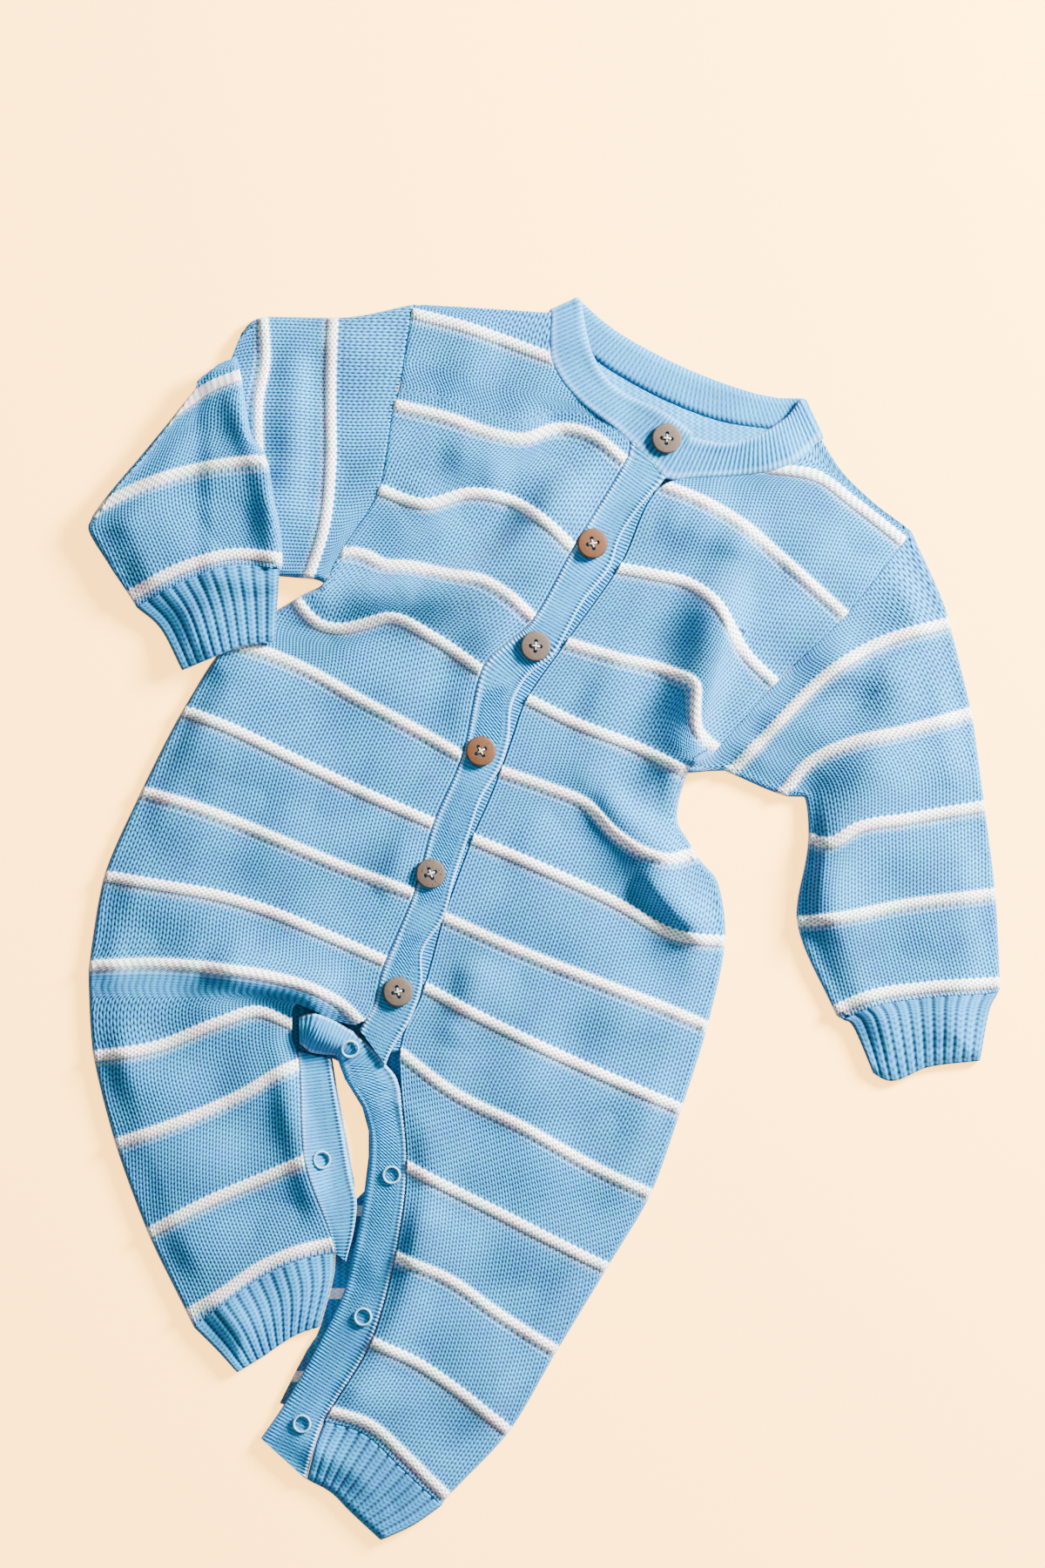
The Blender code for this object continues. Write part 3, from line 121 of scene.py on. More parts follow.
# Left front, in the same way
LEFT_ROWS = [
    (PLAIN, [(168.5, 179), (150, 193), (136, 207), (127, 221)]),
    (STRIPE, [(165, 174), (142, 192), (125, 204), (107, 207)]),
    (STRIPE, [(138, 140), (125, 152), (107, 168), (92, 181), (72, 193), (55, 200)]),
    (STRIPE, [(106, 109), (92, 123), (85, 135), (78, 146), (66, 155), (50, 159), (34, 162)]),
    (STRIPE, [(79, 79), (70, 88), (69, 99), (69, 108), (56, 115), (33, 121), (10, 128)]),
    (STRIPE, [(66, 68), (42, 80), (14, 91), (-8, 102)]),
    (PLAIN, [(61, 48), (46, 54), (28, 64), (8, 76), (-14, 86)]),
    (STRIPE, [(69, 32), (58, 29), (46, 32), (33, 40), (19, 54), (0, 62), (-20, 69)]),
    (PLAIN, [(80, 17), (68, 11), (48, 14), (34, 24), (10, 40), (-26, 54)]),
    (STRIPE, [(83, -9), (70, -8), (60, -6), (34, 8), (2, 23), (-33, 38)]),
    (STRIPE, [(75, -48), (54, -39), (28, -29), (-10, -14), (-46, 2)]),
    (STRIPE, [(63, -86), (15, -65), (-23, -47), (-55, -30)]),
    (STRIPE, [(49, -125), (22, -112), (-10, -94), (-42, -78), (-66, -60)]),
    (STRIPE, [(29, -159), (-4, -142), (-34, -127), (-63, -112)]),
    (STRIPE, [(6, -197), (-22, -179), (-45, -163), (-68, -153)]),
    (STRIPE, [(-16, -234), (-34, -219), (-57, -203), (-79, -192)]),
    (STRIPE, [(-44, -264), (-63, -245), (-80, -230), (-98, -224)]),
    (PLAIN, [(-47, -268), (-66, -250), (-84, -234), (-101, -229)]),
]
LEFT_NECK, LEFT_UNDERARM, LEFT_CROTCH = 2, 5, 12
LEFT_NECK_CUT = [(0, 54), (1, 42), (2, 0)]

# Sleeves, from the underarm to the shoulder side, and the folded forearm, from its outer to its inner side
LEFT_SLEEVE_ROWS = [
    (STRIPE, [(85, 68), (107, 91), (129, 113), (152, 127), (186, 137)]),
    (STRIPE, [(109, 58), (120, 72), (140, 82), (163, 87), (196, 96)]),
    (PLAIN, [(119, 57), (128, 61), (150, 65), (199, 76)]),
    (STRIPE, [(121, 38), (130, 36), (143, 43), (166, 47), (202, 53)]),
    (STRIPE, [(116, 0), (134, 2), (166, 8), (207, 13)]),
    (STRIPE, [(133, -41), (146, -35), (176, -30), (209, -28)]),
    (PLAIN, [(137, -45), (148, -40), (176, -35), (208, -33)]),
]
RIGHT_SLEEVE_ROWS = [
    (STRIPE, [(-108, 157), (-101, 180), (-98, 209), (-98, 244), (-97, 277)]),
    (STRIPE, [(-129, 159), (-131, 183), (-131, 215), (-131, 238), (-128, 256), (-129, 277)]),
    (PLAIN, [(-146, 162), (-148, 185), (-148, 215), (-146, 250), (-139, 270)]),
]
FOREARM_ROWS = [
    (PLAIN, [(-153, 252.5), (-147, 256), (-141, 258)]),
    (STRIPE, [(-167, 235), (-154, 244), (-139, 250)]),
    (PLAIN, [(-186, 212), (-158, 223), (-134, 223)]),
    (STRIPE, [(-204, 190), (-183, 200), (-154, 208), (-127, 211)]),
    (PLAIN, [(-209, 180), (-182, 187), (-154, 193), (-124, 195)]),
    (PLAIN, [(-200, 164), (-174, 173), (-150, 178), (-121, 180)]),
    (STRIPE, [(-190, 149), (-165, 162), (-142, 168), (-120, 166)]),
    (PLAIN, [(-187, 144), (-164, 156), (-142, 163), (-121, 161)]),
]
# Cuffs: the line half way down and the free end
CUFF_ROWS = {
    "cuff_sleeve_left": [[(142, -49), (176, -42), (204, -42)], [(151, -70), (157, -73), (176, -67),
                                                                (200, -64)]],
    "cuff_sleeve_right": [[(-176, 134), (-150, 145), (-122, 146)], [(-166, 115), (-151, 121),
                                                                    (-138, 126), (-123, 128)]],
    "cuff_leg_right": [[(-150, -197), (-130, -180), (-97, -164)], [(-141, -207), (-131, -201),
                                                                   (-112, -189), (-103, -186)]],
    "cuff_leg_left": [[(-60, -277), (-80, -257), (-105, -240)], [(-75, -284), (-90, -270), (-98, -262),
                                                                 (-109, -256)]],
}
# Button bands: upper corners under the collar, free edge, lower tip and foot, width of the lower band
BAND_HEAD = [(40.6, 221.4), (56.4, 204.2)]
BAND_FREE_EDGE = [(54.6, 202), (44, 190), (34, 174), (31, 164), (17, 145), (10, 132), (5, 123), (-8, 112),
                  (-15, 98), (-16, 84), (-19, 73), (-29, 56), (-35, 38), (-41, 20), (-46, 2), (-56, -15),
                  (-56, -29), (-61, -44), (-71, -61)]
BAND_TIP = (-72.8, -65.8)
BAND_FOOT = [(-80.4, -41.5), (-84.6, -49.4)]
BAND_UNDER_WIDTH = 12.0
# Collar: free edges, its end under the top button and its seam along the back
NECK_RIGHT_EDGE = [(17, 284), (19, 272), (22, 260), (29, 248), (40, 240), (50, 236), (60, 230), (68, 224)]
NECK_END = [(39.5, 219.5), (47.6, 210), (54.8, 202.2)]
NECK_BACK_EDGE = [(117, 239), (102, 241), (82, 247), (54, 259), (30, 273), (17, 284)]
NECK_BACK_SEAM = [(127, 221), (118, 224), (102, 226), (82, 229), (62, 236), (38, 248), (20, 260),
                  (3, 279)]
NECK_LEFT_EDGE = [(117, 239), (112, 232), (107, 228), (96, 222), (84, 219), (72, 221), (65, 223)]
# Inside leg: edges of the snap bands, the back's edge beside the ankle and the roll at the crotch, which
# is given as left x and y, right x and y, and how far it stands up
SNAP_LEFT_EDGE = [(-94, -64), (-91, -72), (-83, -85), (-80, -96), (-80, -108), (-82, -124), (-85, -140),
                  (-88, -154), (-92, -170), (-101, -189), (-121, -224), (-130, -237)]
SNAP_RIGHT_EDGE = [(-98, -63), (-96, -76), (-92, -97), (-88, -119), (-86, -128), (-87, -140), (-91, -156)]
BACK_SPUR = [(-104.8, -190.5), (-109.2, -197), (-113.4, -205), (-121.5, -221)]
SNAP_SHOULDER = [(-72.6, -65.6), (-68.0, -71.2)]
CROTCH_ROLL = [(-112, -56, -112, -43.5, 4.0), (-107, -60, -106, -41.5, 8.0), (-101, -61, -98, -44, 8.0),
               (-95, -62, -88, -50, 3.5), (-94, -65, -77, -60, 0.5)]

# Profiles turned about a middle: radius and height
BUTTON_PROFILE = [(6.2, 0.0), (6.7, 0.3), (6.9, 0.9), (6.9, 1.6), (6.75, 2.1), (6.45, 2.45), (6.0, 2.6)]
BUTTON_HOLE, BUTTON_HOLE_OFFSET = 0.9, 2.3
BUTTON_SPINS = (84, 101, 85, 120, 110, 103)      # degrees from the x axis to the first hole
WARM_BUTTONS, SPECKLED_BUTTON = (1, 3), 4        # their places in BUTTON_SPINS
THREAD_REACH = 0.72          # where a thread ends, as a share of a hole's distance from the middle
ALL_ALONG = 999              # end of a pale chain that runs the whole band
SNAP_PROFILE = [(3.2, 0.0), (4.2, 0.0), (4.3, 0.45), (4.25, 0.95), (4.0, 1.35), (3.75, 1.5), (3.5, 1.4),
                (3.3, 1.1), (3.2, 0.6)]

# Folds of the laid cloth: crest points, height, width to the left and right of its direction
FOLDS = [
    ([(26, 214), (4, 186), (-24, 160), (-62, 150), (-98, 148)], 8.5, 12, 10),
    ([(4, 232), (-20, 216), (-50, 216)], 2.8, 11, 10),
    ([(-12, 204), (-40, 200), (-66, 188)], 2.8, 11, 11),
    ([(90, 168), (83, 145), (77, 118), (70, 94), (66, 68), (62, 44)], 9.0, 7, 15),
    ([(100, 170), (74, 180), (50, 184)], 2.2, 11, 12),
    ([(22, 64), (36, 48), (50, 34), (66, 30)], 4.0, 7, 9),
    ([(44, 26), (56, 12), (68, 0), (78, -4)], 6.0, 10, 7),
    ([(-158, -20), (-128, -26), (-106, -33), (-92, -42)], 6.5, 14, 8),
    ([(-123, -47), (-119, -66), (-115, -90), (-108, -116), (-100, -140)], 2.6, 6, 7),
    ([(-50, -118), (-58, -150), (-66, -180), (-86, -212)], 3.5, 9, 7),
    ([(138, 118), (160, 108), (152, 76), (140, 52), (129, 20), (133, -14)], 5.4, 14, 13),
    ([(96, 82), (124, 106), (150, 122)], 3.0, 7, 5),
    ([(-113, 268), (-115, 230), (-117, 190)], 3.0, 6, 9),
    ([(-142, 112), (-150, 80), (-158, 52)], 1.8, 10, 10),
    ([(-30, -14), (-38, -40), (-44, -60)], 2.0, 8, 8),
]
# Shallow waves: direction in radians, length, height and phase
WAVES = [(0.35, 52.0, 0.75, 0.3), (1.30, 38.0, 0.55, 1.1), (-0.65, 30.0, 0.42, 2.0), (2.0, 66.0, 0.7, 0.7)]
FOREARM_FOLDS = [
    ([(-146, 250), (-136, 222), (-127, 196), (-124, 166), (-127, 140)], 3.0, 8, 6),
    ([(-192, 190), (-186, 168), (-180, 150)], 1.5, 8, 8),
]
# Stage: floor in metres; camera height and length of the picture in metres, sensor in millimetres
FLOOR_SIZE, FLOOR_LEVEL = 6.0, -0.0004
FLOOR_GLOW, FLOOR_GLOW_STRENGTH = (1.0, 0.50, 0.10), 4.6
CAMERA_HEIGHT, FRAME_LENGTH, SENSOR = 2.4, 0.72, 36.0
FRAME_MIDDLE = (-10.0, 63.0)                     # pattern point in the middle of the picture
WORLD_TINT, WORLD_STRENGTH = (1.0, 0.97, 0.94, 1.0), 0.42
# Soft lights, pointed at the origin: name, place and side in metres, power in watts, tint
LIGHTS = [("soft_key", (1.25, 0.85, 0.72), 0.45, 330.0, (1.0, 0.99, 0.97)),
          ("soft_top", (0.1, 0.2, 2.4), 1.4, 14.0, (1.0, 1.0, 1.0))]

# Areas of the folded arm: the elbow's lower layer and the upper arm
ELBOW = [(-112.0, 290), (-136, 284), (-224, 188), (-206, 164), (-150, 161), (-112, 158)]
UPPER_ARM = [(-60.0, 283), (-131, 278), (-150, 262), (-150, 160), (-129, 157), (-103, 156)]
# Side of the forearm: share of its height, inset, and further inset where two layers meet
SIDE_LEVELS = [(0.0, 0.9, 0.0), (0.14, 0.0, 0.0), (0.38, 0.0, 0.0), (0.48, 0.0, 1.7), (0.58, 0.0, 0.0),
               (0.84, 0.1, 0.0), (0.96, 1.3, 0.0)]
# Outline of the whole laid garment
SILHOUETTE = [
    (3, 279), (17, 284), (30, 273), (54, 259), (82, 247), (102, 241), (117, 239), (127, 221), (150, 193),
    (167, 179), (186, 137), (196, 96), (202, 53), (207, 13), (209, -28), (204, -42), (200, -64),
    (176, -67), (157, -73), (151, -70), (137, -45), (116, 0), (121, 38), (119, 57), (109, 58), (85, 68),
    (66, 66), (61, 48), (69, 32), (80, 17), (83, -9), (75, -48), (63, -86), (49, -125), (29, -159),
    (6, -197), (-16, -234), (-44, -264), (-60, -277), (-75, -284), (-90, -270), (-98, -262), (-109, -256),
    (-122, -246), (-130, -237), (-121, -224), (-101, -189), (-91, -165), (-96, -158), (-97, -164),
    (-103, -186), (-112, -189), (-131, -201), (-141, -207), (-150, -197), (-164, -180), (-182, -143),
    (-197, -102), (-207, -62), (-209, -20), (-202, 21), (-185, 60), (-166, 97), (-160, 107), (-166, 115),
    (-176, 134), (-190, 149), (-200, 164), (-209, 180), (-204, 190), (-186, 212), (-167, 235),
    (-146, 259), (-131, 278), (-97, 278), (-60, 284),
]


class RomperSizes(bpy.types.PropertyGroup):
    """Sizes a user may change before the pieces are built."""

    stitch_width: bpy.props.FloatProperty(
        name="Stitch width", description="Width of one knit stitch", default=0.0032, min=0.002, max=0.008,
        unit="LENGTH")
    stitch_height: bpy.props.FloatProperty(
        name="Stitch height", description="Height of one knit course", default=0.002, min=0.0012, max=0.006,
        unit="LENGTH")
    stitch_depth: bpy.props.FloatProperty(
        name="Stitch depth", description="Depth of the holes between stitches", default=0.00055, min=0.0,
        max=0.0012, unit="LENGTH")
    cloth: bpy.props.FloatProperty(
        name="Cloth", description="Thickness of the knitted wall", default=0.002, min=0.001, max=0.003,
        unit="LENGTH")
    stripe_height: bpy.props.FloatProperty(
        name="Stripe height", description="How far a white stripe stands up", default=0.0014, min=0.0,
        max=0.002, unit="LENGTH")
    band_rib: bpy.props.FloatProperty(
        name="Band rib", description="Pitch of the fine ribs of the button and snap bands",
        default=0.0016, min=0.001, max=0.004, unit="LENGTH")
    collar_rib: bpy.props.FloatProperty(
        name="Collar rib", description="Pitch of the fine ribs of the collar", default=0.0021,
        min=0.001, max=0.004, unit="LENGTH")
    cuff_rib: bpy.props.FloatProperty(
        name="Cuff rib", description="Pitch of the broad ribs of the cuffs", default=0.005, min=0.003,
        max=0.008, unit="LENGTH")
    cuff_rib_height: bpy.props.FloatProperty(
        name="Cuff rib height", description="Height of the broad ribs of the cuffs", default=0.0007,
        min=0.0, max=0.002, unit="LENGTH")


class RomperColours(bpy.types.PropertyGroup):
    """Colours of the yarns, buttons, snaps and floor."""

    blue: bpy.props.FloatVectorProperty(
        name="Blue yarn", description="Crest of the blue stitches", size=3, subtype="COLOR", min=0, max=1,
        default=(0.014, 0.295, 0.65))
    # Painted shade: the dark colour that the hollows between the blue stitches are mixed towards.
    blue_hollow_shade: bpy.props.FloatVectorProperty(
        name="Deep blue", description="Hollows of the blue stitches", size=3, subtype="COLOR", min=0, max=1,
        default=(0.003, 0.020, 0.055))
    white: bpy.props.FloatVectorProperty(
        name="White yarn", description="Crest of the white stripes", size=3, subtype="COLOR", min=0, max=1,
        default=(0.93, 0.92, 0.90))
    # Painted shade: the dark colour that the pits of the white stripes are mixed towards.
    white_hollow_shade: bpy.props.FloatVectorProperty(
        name="White hollows", description="Hollows of the white stripes", size=3, subtype="COLOR", min=0,
        max=1, default=(0.105, 0.125, 0.155))
    wood: bpy.props.FloatVectorProperty(
        name="Grey wood", description="Four of the buttons", size=3, subtype="COLOR", min=0, max=1,
        default=(0.070, 0.051, 0.038))
    wood_warm: bpy.props.FloatVectorProperty(
        name="Warm wood", description="The second and fourth button", size=3, subtype="COLOR", min=0, max=1,
        default=(0.080, 0.032, 0.012))
    thread: bpy.props.FloatVectorProperty(
        name="Thread", description="Sewing thread of the buttons", size=3, subtype="COLOR", min=0, max=1,
        default=(0.40, 0.42, 0.44))
    plastic: bpy.props.FloatVectorProperty(
        name="Snap plastic", description="Clear plastic of the snaps", size=3, subtype="COLOR", min=0,
        max=1, default=(0.34, 0.55, 0.66))
    floor: bpy.props.FloatVectorProperty(
        name="Floor", description="Plain pale floor", size=3, subtype="COLOR", min=0, max=1,
        default=(0.90, 0.50, 0.14))


def sizes():
    """Sizes of the open scene, in millimetres."""
    group = bpy.context.scene.romper_sizes
    return {name: getattr(group, name) / MM for name in group.bl_rna.properties.keys()
            if isinstance(getattr(group, name), float)}


def colours():
    """Colours of the open scene."""
    return bpy.context.scene.romper_colours


def smooth(value):
    """Soft step from 0 to 1."""
    value = np.clip(value, 0.0, 1.0)
    return value * value * (3 - 2 * value)


def hermite(keys, values, at, even=False):
    """Smooth curve through values at keys, read at the keys in at; an even one never swings past them."""
    keys = np.asarray(keys, float)
    values = np.asarray(values, float)
    shape = (-1,) + (1,) * (values.ndim - 1)
    if even:
        step = np.diff(keys).reshape(shape)
        secant = np.diff(values, axis=0) / step
        slopes = np.concatenate([secant[:1], np.zeros_like(secant[1:]), secant[-1:]])
        before, after = secant[:-1], secant[1:]
        same = before * after > 0
        weight_a, weight_b = 2 * step[1:] + step[:-1], step[1:] + 2 * step[:-1]
        share = weight_a / np.where(same, before, 1) + weight_b / np.where(same, after, 1)
        slopes[1:-1] = np.where(same, (weight_a + weight_b) / np.where(same, share, 1), 0.0)
    else:
        slopes = np.gradient(values, keys, axis=0)
    at = np.asarray(at, float)
    low = np.clip(np.searchsorted(keys, at, side="right") - 1, 0, len(keys) - 2)
    step = keys[low + 1] - keys[low]
    t = ((at - keys[low]) / step).reshape(shape)
    step = step.reshape(shape)
    return ((2 * t**3 - 3 * t**2 + 1) * values[low] + (t**3 - 2 * t**2 + t) * step * slopes[low]
            + (3 * t**2 - 2 * t**3) * values[low + 1] + (t**3 - t**2) * step * slopes[low + 1])


def lengths_along(points):
    """Length of a line up to each of its points."""
    steps = np.linalg.norm(np.diff(points, axis=0), axis=1)
    return np.concatenate([[0.0], np.cumsum(steps)])


def curve(points, count):
    """Count points at even steps along a smooth curve through the points."""
    points = np.asarray(points, float)
    if len(points) == 2:
        return points[0] + np.linspace(0, 1, count)[:, None] * (points[1] - points[0])
    keys = lengths_along(points)
    fine = hermite(keys, points, np.linspace(0, keys[-1], 16 * len(points)))
    run = lengths_along(fine)
    stops = np.linspace(0, run[-1], count)
    return np.stack([np.interp(stops, run, fine[:, k]) for k in range(points.shape[1])], axis=1)


def even_line(points, count):
    """Count points at even steps along straight pieces between the points."""
    points = np.asarray(points, float)
    run = lengths_along(points)
    stops = np.linspace(0, run[-1], count)
    return np.stack([np.interp(stops, run, points[:, k]) for k in range(points.shape[1])], axis=1)


def normals_2d(line):
    """Unit normals of a plan line, to the right of its direction."""
    along = np.gradient(line, axis=0)
    along /= np.maximum(np.linalg.norm(along, axis=1), 1e-9)[:, None]
    return np.stack([along[:, 1], -along[:, 0]], axis=1)


def offset(line, distance):
    """Plan line moved to its right."""
    return line + distance * normals_2d(line)


def seam_line(line, toward, gap=SEAM):
    """Plan line moved by the seam gap towards a point or another line."""
    side = normals_2d(line)
    if side.mean(axis=0) @ (np.reshape(toward, (-1, 2)).mean(axis=0) - line.mean(axis=0)) < 0:
        side = -side
    return line + gap * side


def on_floor(xy):
    """Level of a piece that lies on the floor, or of one with nothing added to its own level."""
    return np.zeros(np.asarray(xy).shape[:-1])


def line_distance(xy, line):
    """Distance to an open line, the side of it and the place along it from 0 to 1."""
    line = np.asarray(line, float)
    best = np.full(len(xy), 1e9)
    side = np.zeros(len(xy))
    place = np.zeros(len(xy))
    lengths = np.linalg.norm(np.diff(line, axis=0), axis=1)
    total = lengths.sum()
    before = 0.0
    for a, b, length in zip(line[:-1], line[1:], lengths):
        along = (b - a) / length
        off_x, off_y = xy[:, 0] - a[0], xy[:, 1] - a[1]
        t = np.clip(off_x * along[0] + off_y * along[1], 0, length)
        cross = along[0] * off_y - along[1] * off_x
        distance = np.hypot(off_x - t * along[0], off_y - t * along[1])
        nearer = distance < best
        best[nearer] = distance[nearer]
        side[nearer] = cross[nearer]
        place[nearer] = ((before + t) / total)[nearer]
        before += length
    return best, side, place


def inside_distance(xy, outline):
    """Distance inside a closed outline, negative outside."""
    outline = np.asarray(outline, float)
    closed = np.vstack([outline, outline[:1]])
    distance = line_distance(xy, closed)[0]
    inside = np.zeros(len(xy), bool)
    for a, b in zip(closed[:-1], closed[1:]):
        crosses = (a[1] > xy[:, 1]) != (b[1] > xy[:, 1])
        if crosses.any():
            at = a[0] + (xy[:, 1] - a[1]) / (b[1] - a[1] + 1e-12) * (b[0] - a[0])
            inside ^= crosses & (xy[:, 0] < at)
    return np.where(inside, distance, -distance)


def fold_height(xy, folds):
    """Sum of soft ridges, each fading out at its ends."""
    height = np.zeros(len(xy))
    for crest, rise, left, right in folds:
        line = curve(crest, 4 * len(crest))
        reach = 3.2 * max(left, right)
        near = np.flatnonzero(((xy > line.min(axis=0) - reach) & (xy < line.max(axis=0) + reach)).all(axis=1))
        distance, side, place = line_distance(xy[near], line)
        ends = smooth(place / 0.25) * smooth((1 - place) / 0.25)
        width = (left + right + ends * np.sign(side) * (left - right)) / 2
        height[near] += rise * (0.25 + 0.75 * ends) * np.exp(-(distance / width) ** 2)
    return height


class Relief:
    """Heights on a plan raster of 1 mm, read anywhere between its points."""

    def __init__(self, function, low, high):
        self.low = np.asarray(low, float)
        width, length = (np.asarray(high) - low).astype(int) + 1
        grid = np.stack(np.meshgrid(np.arange(width), np.arange(length), indexing="ij"), axis=-1)
        self.height = function(grid.reshape(-1, 2) + self.low).reshape(width, length)
        self.slope = np.hypot(*np.gradient(self.height))

    def read(self, raster, xy):
        """Raster value at plan points."""
        at = np.asarray(xy, float) - self.low
        at = np.clip(at, 0, np.array(raster.shape) - 1.001)
        cell = at.astype(int)
        x, y = np.moveaxis(at - cell, -1, 0)
        i, j = np.moveaxis(cell, -1, 0)
        return ((1 - x) * (1 - y) * raster[i, j] + x * (1 - y) * raster[i + 1, j]
                + (1 - x) * y * raster[i, j + 1] + x * y * raster[i + 1, j + 1])

    def __call__(self, xy):
        return self.read(self.height, xy)

    def steepness(self, xy):
        """How much taller an upright cut through a sloping wall is than the wall is thick."""
        return np.minimum(np.sqrt(1 + self.read(self.slope, xy) ** 2), 1.7)


def draped(xy):
    """Height of the lowest front layer above where it would lie if pressed flat."""
    outline = np.array(SILHOUETTE, float)
    distance = line_distance(xy, np.vstack([outline, outline[:1]]))[0]
    calm = 0.25 + 0.75 * smooth(distance / 10.0)
    flat = PUFF * smooth(distance / PUFF_RUN)
    return flat + FOLD_GAIN * calm * fold_height(xy, FOLDS) + soft_waves(xy, distance)


def soft_waves(xy, distance):
    """Shallow unevenness of cloth laid by hand, fading out at the outline and at the button band."""
    closure = curve([(56, 224)] + BAND_FREE_EDGE[::3] + SNAP_LEFT_EDGE[1::3], 40)
    free = smooth((line_distance(xy, closure)[0] - 15.0) / 14.0)
    height = np.full(len(xy), 1.2)
    for angle, length, rise, phase in WAVES:
        along = (xy @ (math.cos(angle), math.sin(angle))) / length
        side = (xy @ (-math.sin(angle), math.cos(angle))) / length
        height += rise * np.sin(2 * math.pi * along + phase + 1.1 * np.sin(1.7 * side + phase))
    return np.maximum(height, 0) * free * smooth((distance - 3.0) / 14.0)


class Panel:
    """Pattern lines across a panel and a fine row of stitches between them for every half course."""

    def __init__(self, rows, course, first=None):
        lines, keys = [], []
        if first is not None:
            lines.append(curve(first, PATTERN_COLUMNS))
            keys.append(-1.0)
        middles = [curve(points, PATTERN_COLUMNS) for kind, points in rows]
        for number, (kind, points) in enumerate(rows):
            if kind == PLAIN:
                lines.append(middles[number])
                keys.append(float(number))
                continue
            after = middles[min(number + 1, len(rows) - 1)]
            before = middles[max(number - 1, 0)]
            side = normals_2d(middles[number])
            if (side * (after - before)).sum() < 0:
                side = -side
            for column, near in ((0, SLANTED_ENDS), (-1, SLANTED_ENDS[::-1])):
                along = (after - before)[column]
                along = along / np.linalg.norm(along)
                side += near[:, None] * (along / max(along @ side[column], 0.25) - side[column])
            for share in (-1.0, -0.5, 0.5, 1.0):
                lines.append(middles[number] + share * WELT_HALF * side)
                keys.append(number + WELT_KEY * share)
        self.lines, self.keys = np.asarray(lines), np.asarray(keys)
        self.read_rows(rows, course)
        self.plan = self.at(self.stops)

    def at(self, stops):
        """Lines of the panel at row numbers."""
        return hermite(self.keys, self.lines, stops, even=True)

    def read_rows(self, rows, course):
        """Row numbers of the half courses, with how white and how raised each one is."""
        stripes = [number for number, row in enumerate(rows) if row[0] == STRIPE]
        marks = [self.keys[0]]
        for number in stripes:
            marks += [number - WELT_KEY, number + WELT_KEY]
        marks.append(self.keys[-1])
        stops, white, raised, below = [], [], [], []
        for low, high in zip(marks[:-1], marks[1:]):
            if high - low < 1e-6:
                continue
            if abs(high - low - 2 * WELT_KEY) < 1e-6:
                shares = np.array([0.0, 0.2, 0.4, 0.6, 0.8])
                whiteness, height = [0.5, 1, 1, 1, 1], [0.25, 0.85, 1.0, 1.0, 0.85]
                under = [0.0] * 5
            else:
                probe = np.linspace(low, high, 13)
                run = np.linalg.norm(np.diff(self.at(probe), axis=0), axis=2).mean(axis=1)
                run = np.concatenate([[0], np.cumsum(run)])
                count = max(2, 2 * int(round(run[-1] / course)))
                shares = (np.interp(np.arange(count) / count * run[-1], run, probe) - low) / (high - low)
                after = any(abs(low - WELT_KEY - number) < 1e-6 for number in stripes)
                whiteness = [0.5 if after else 0.0] + [0.0] * (count - 1)
                height = [0.25 if after else 0.0] + [0.0] * (count - 1)
                under = [1.0 if after and k < 3 else 0.0 for k in range(count)]
            stops += list(low + shares * (high - low))
            white += whiteness
            raised += height
            below += under
        self.stops = np.array(stops + [marks[-1]])
        self.white, self.raised, self.below = (np.array(v + [0.0]) for v in (white, raised, below))

    def edge(self, column, low, high, count):
        """Even points along one side of the panel between two row numbers."""
        return even_line(self.at(np.linspace(low, high, 160))[:, column], count)


def inward_2d(edge, nearest):
    """Unit vectors at right angles to an edge line, towards the line next to it."""
    side = normals_2d(edge)
    turned = (side * (nearest - edge)).sum(axis=1) < 0
    return np.where(turned[:, None], -side, side)


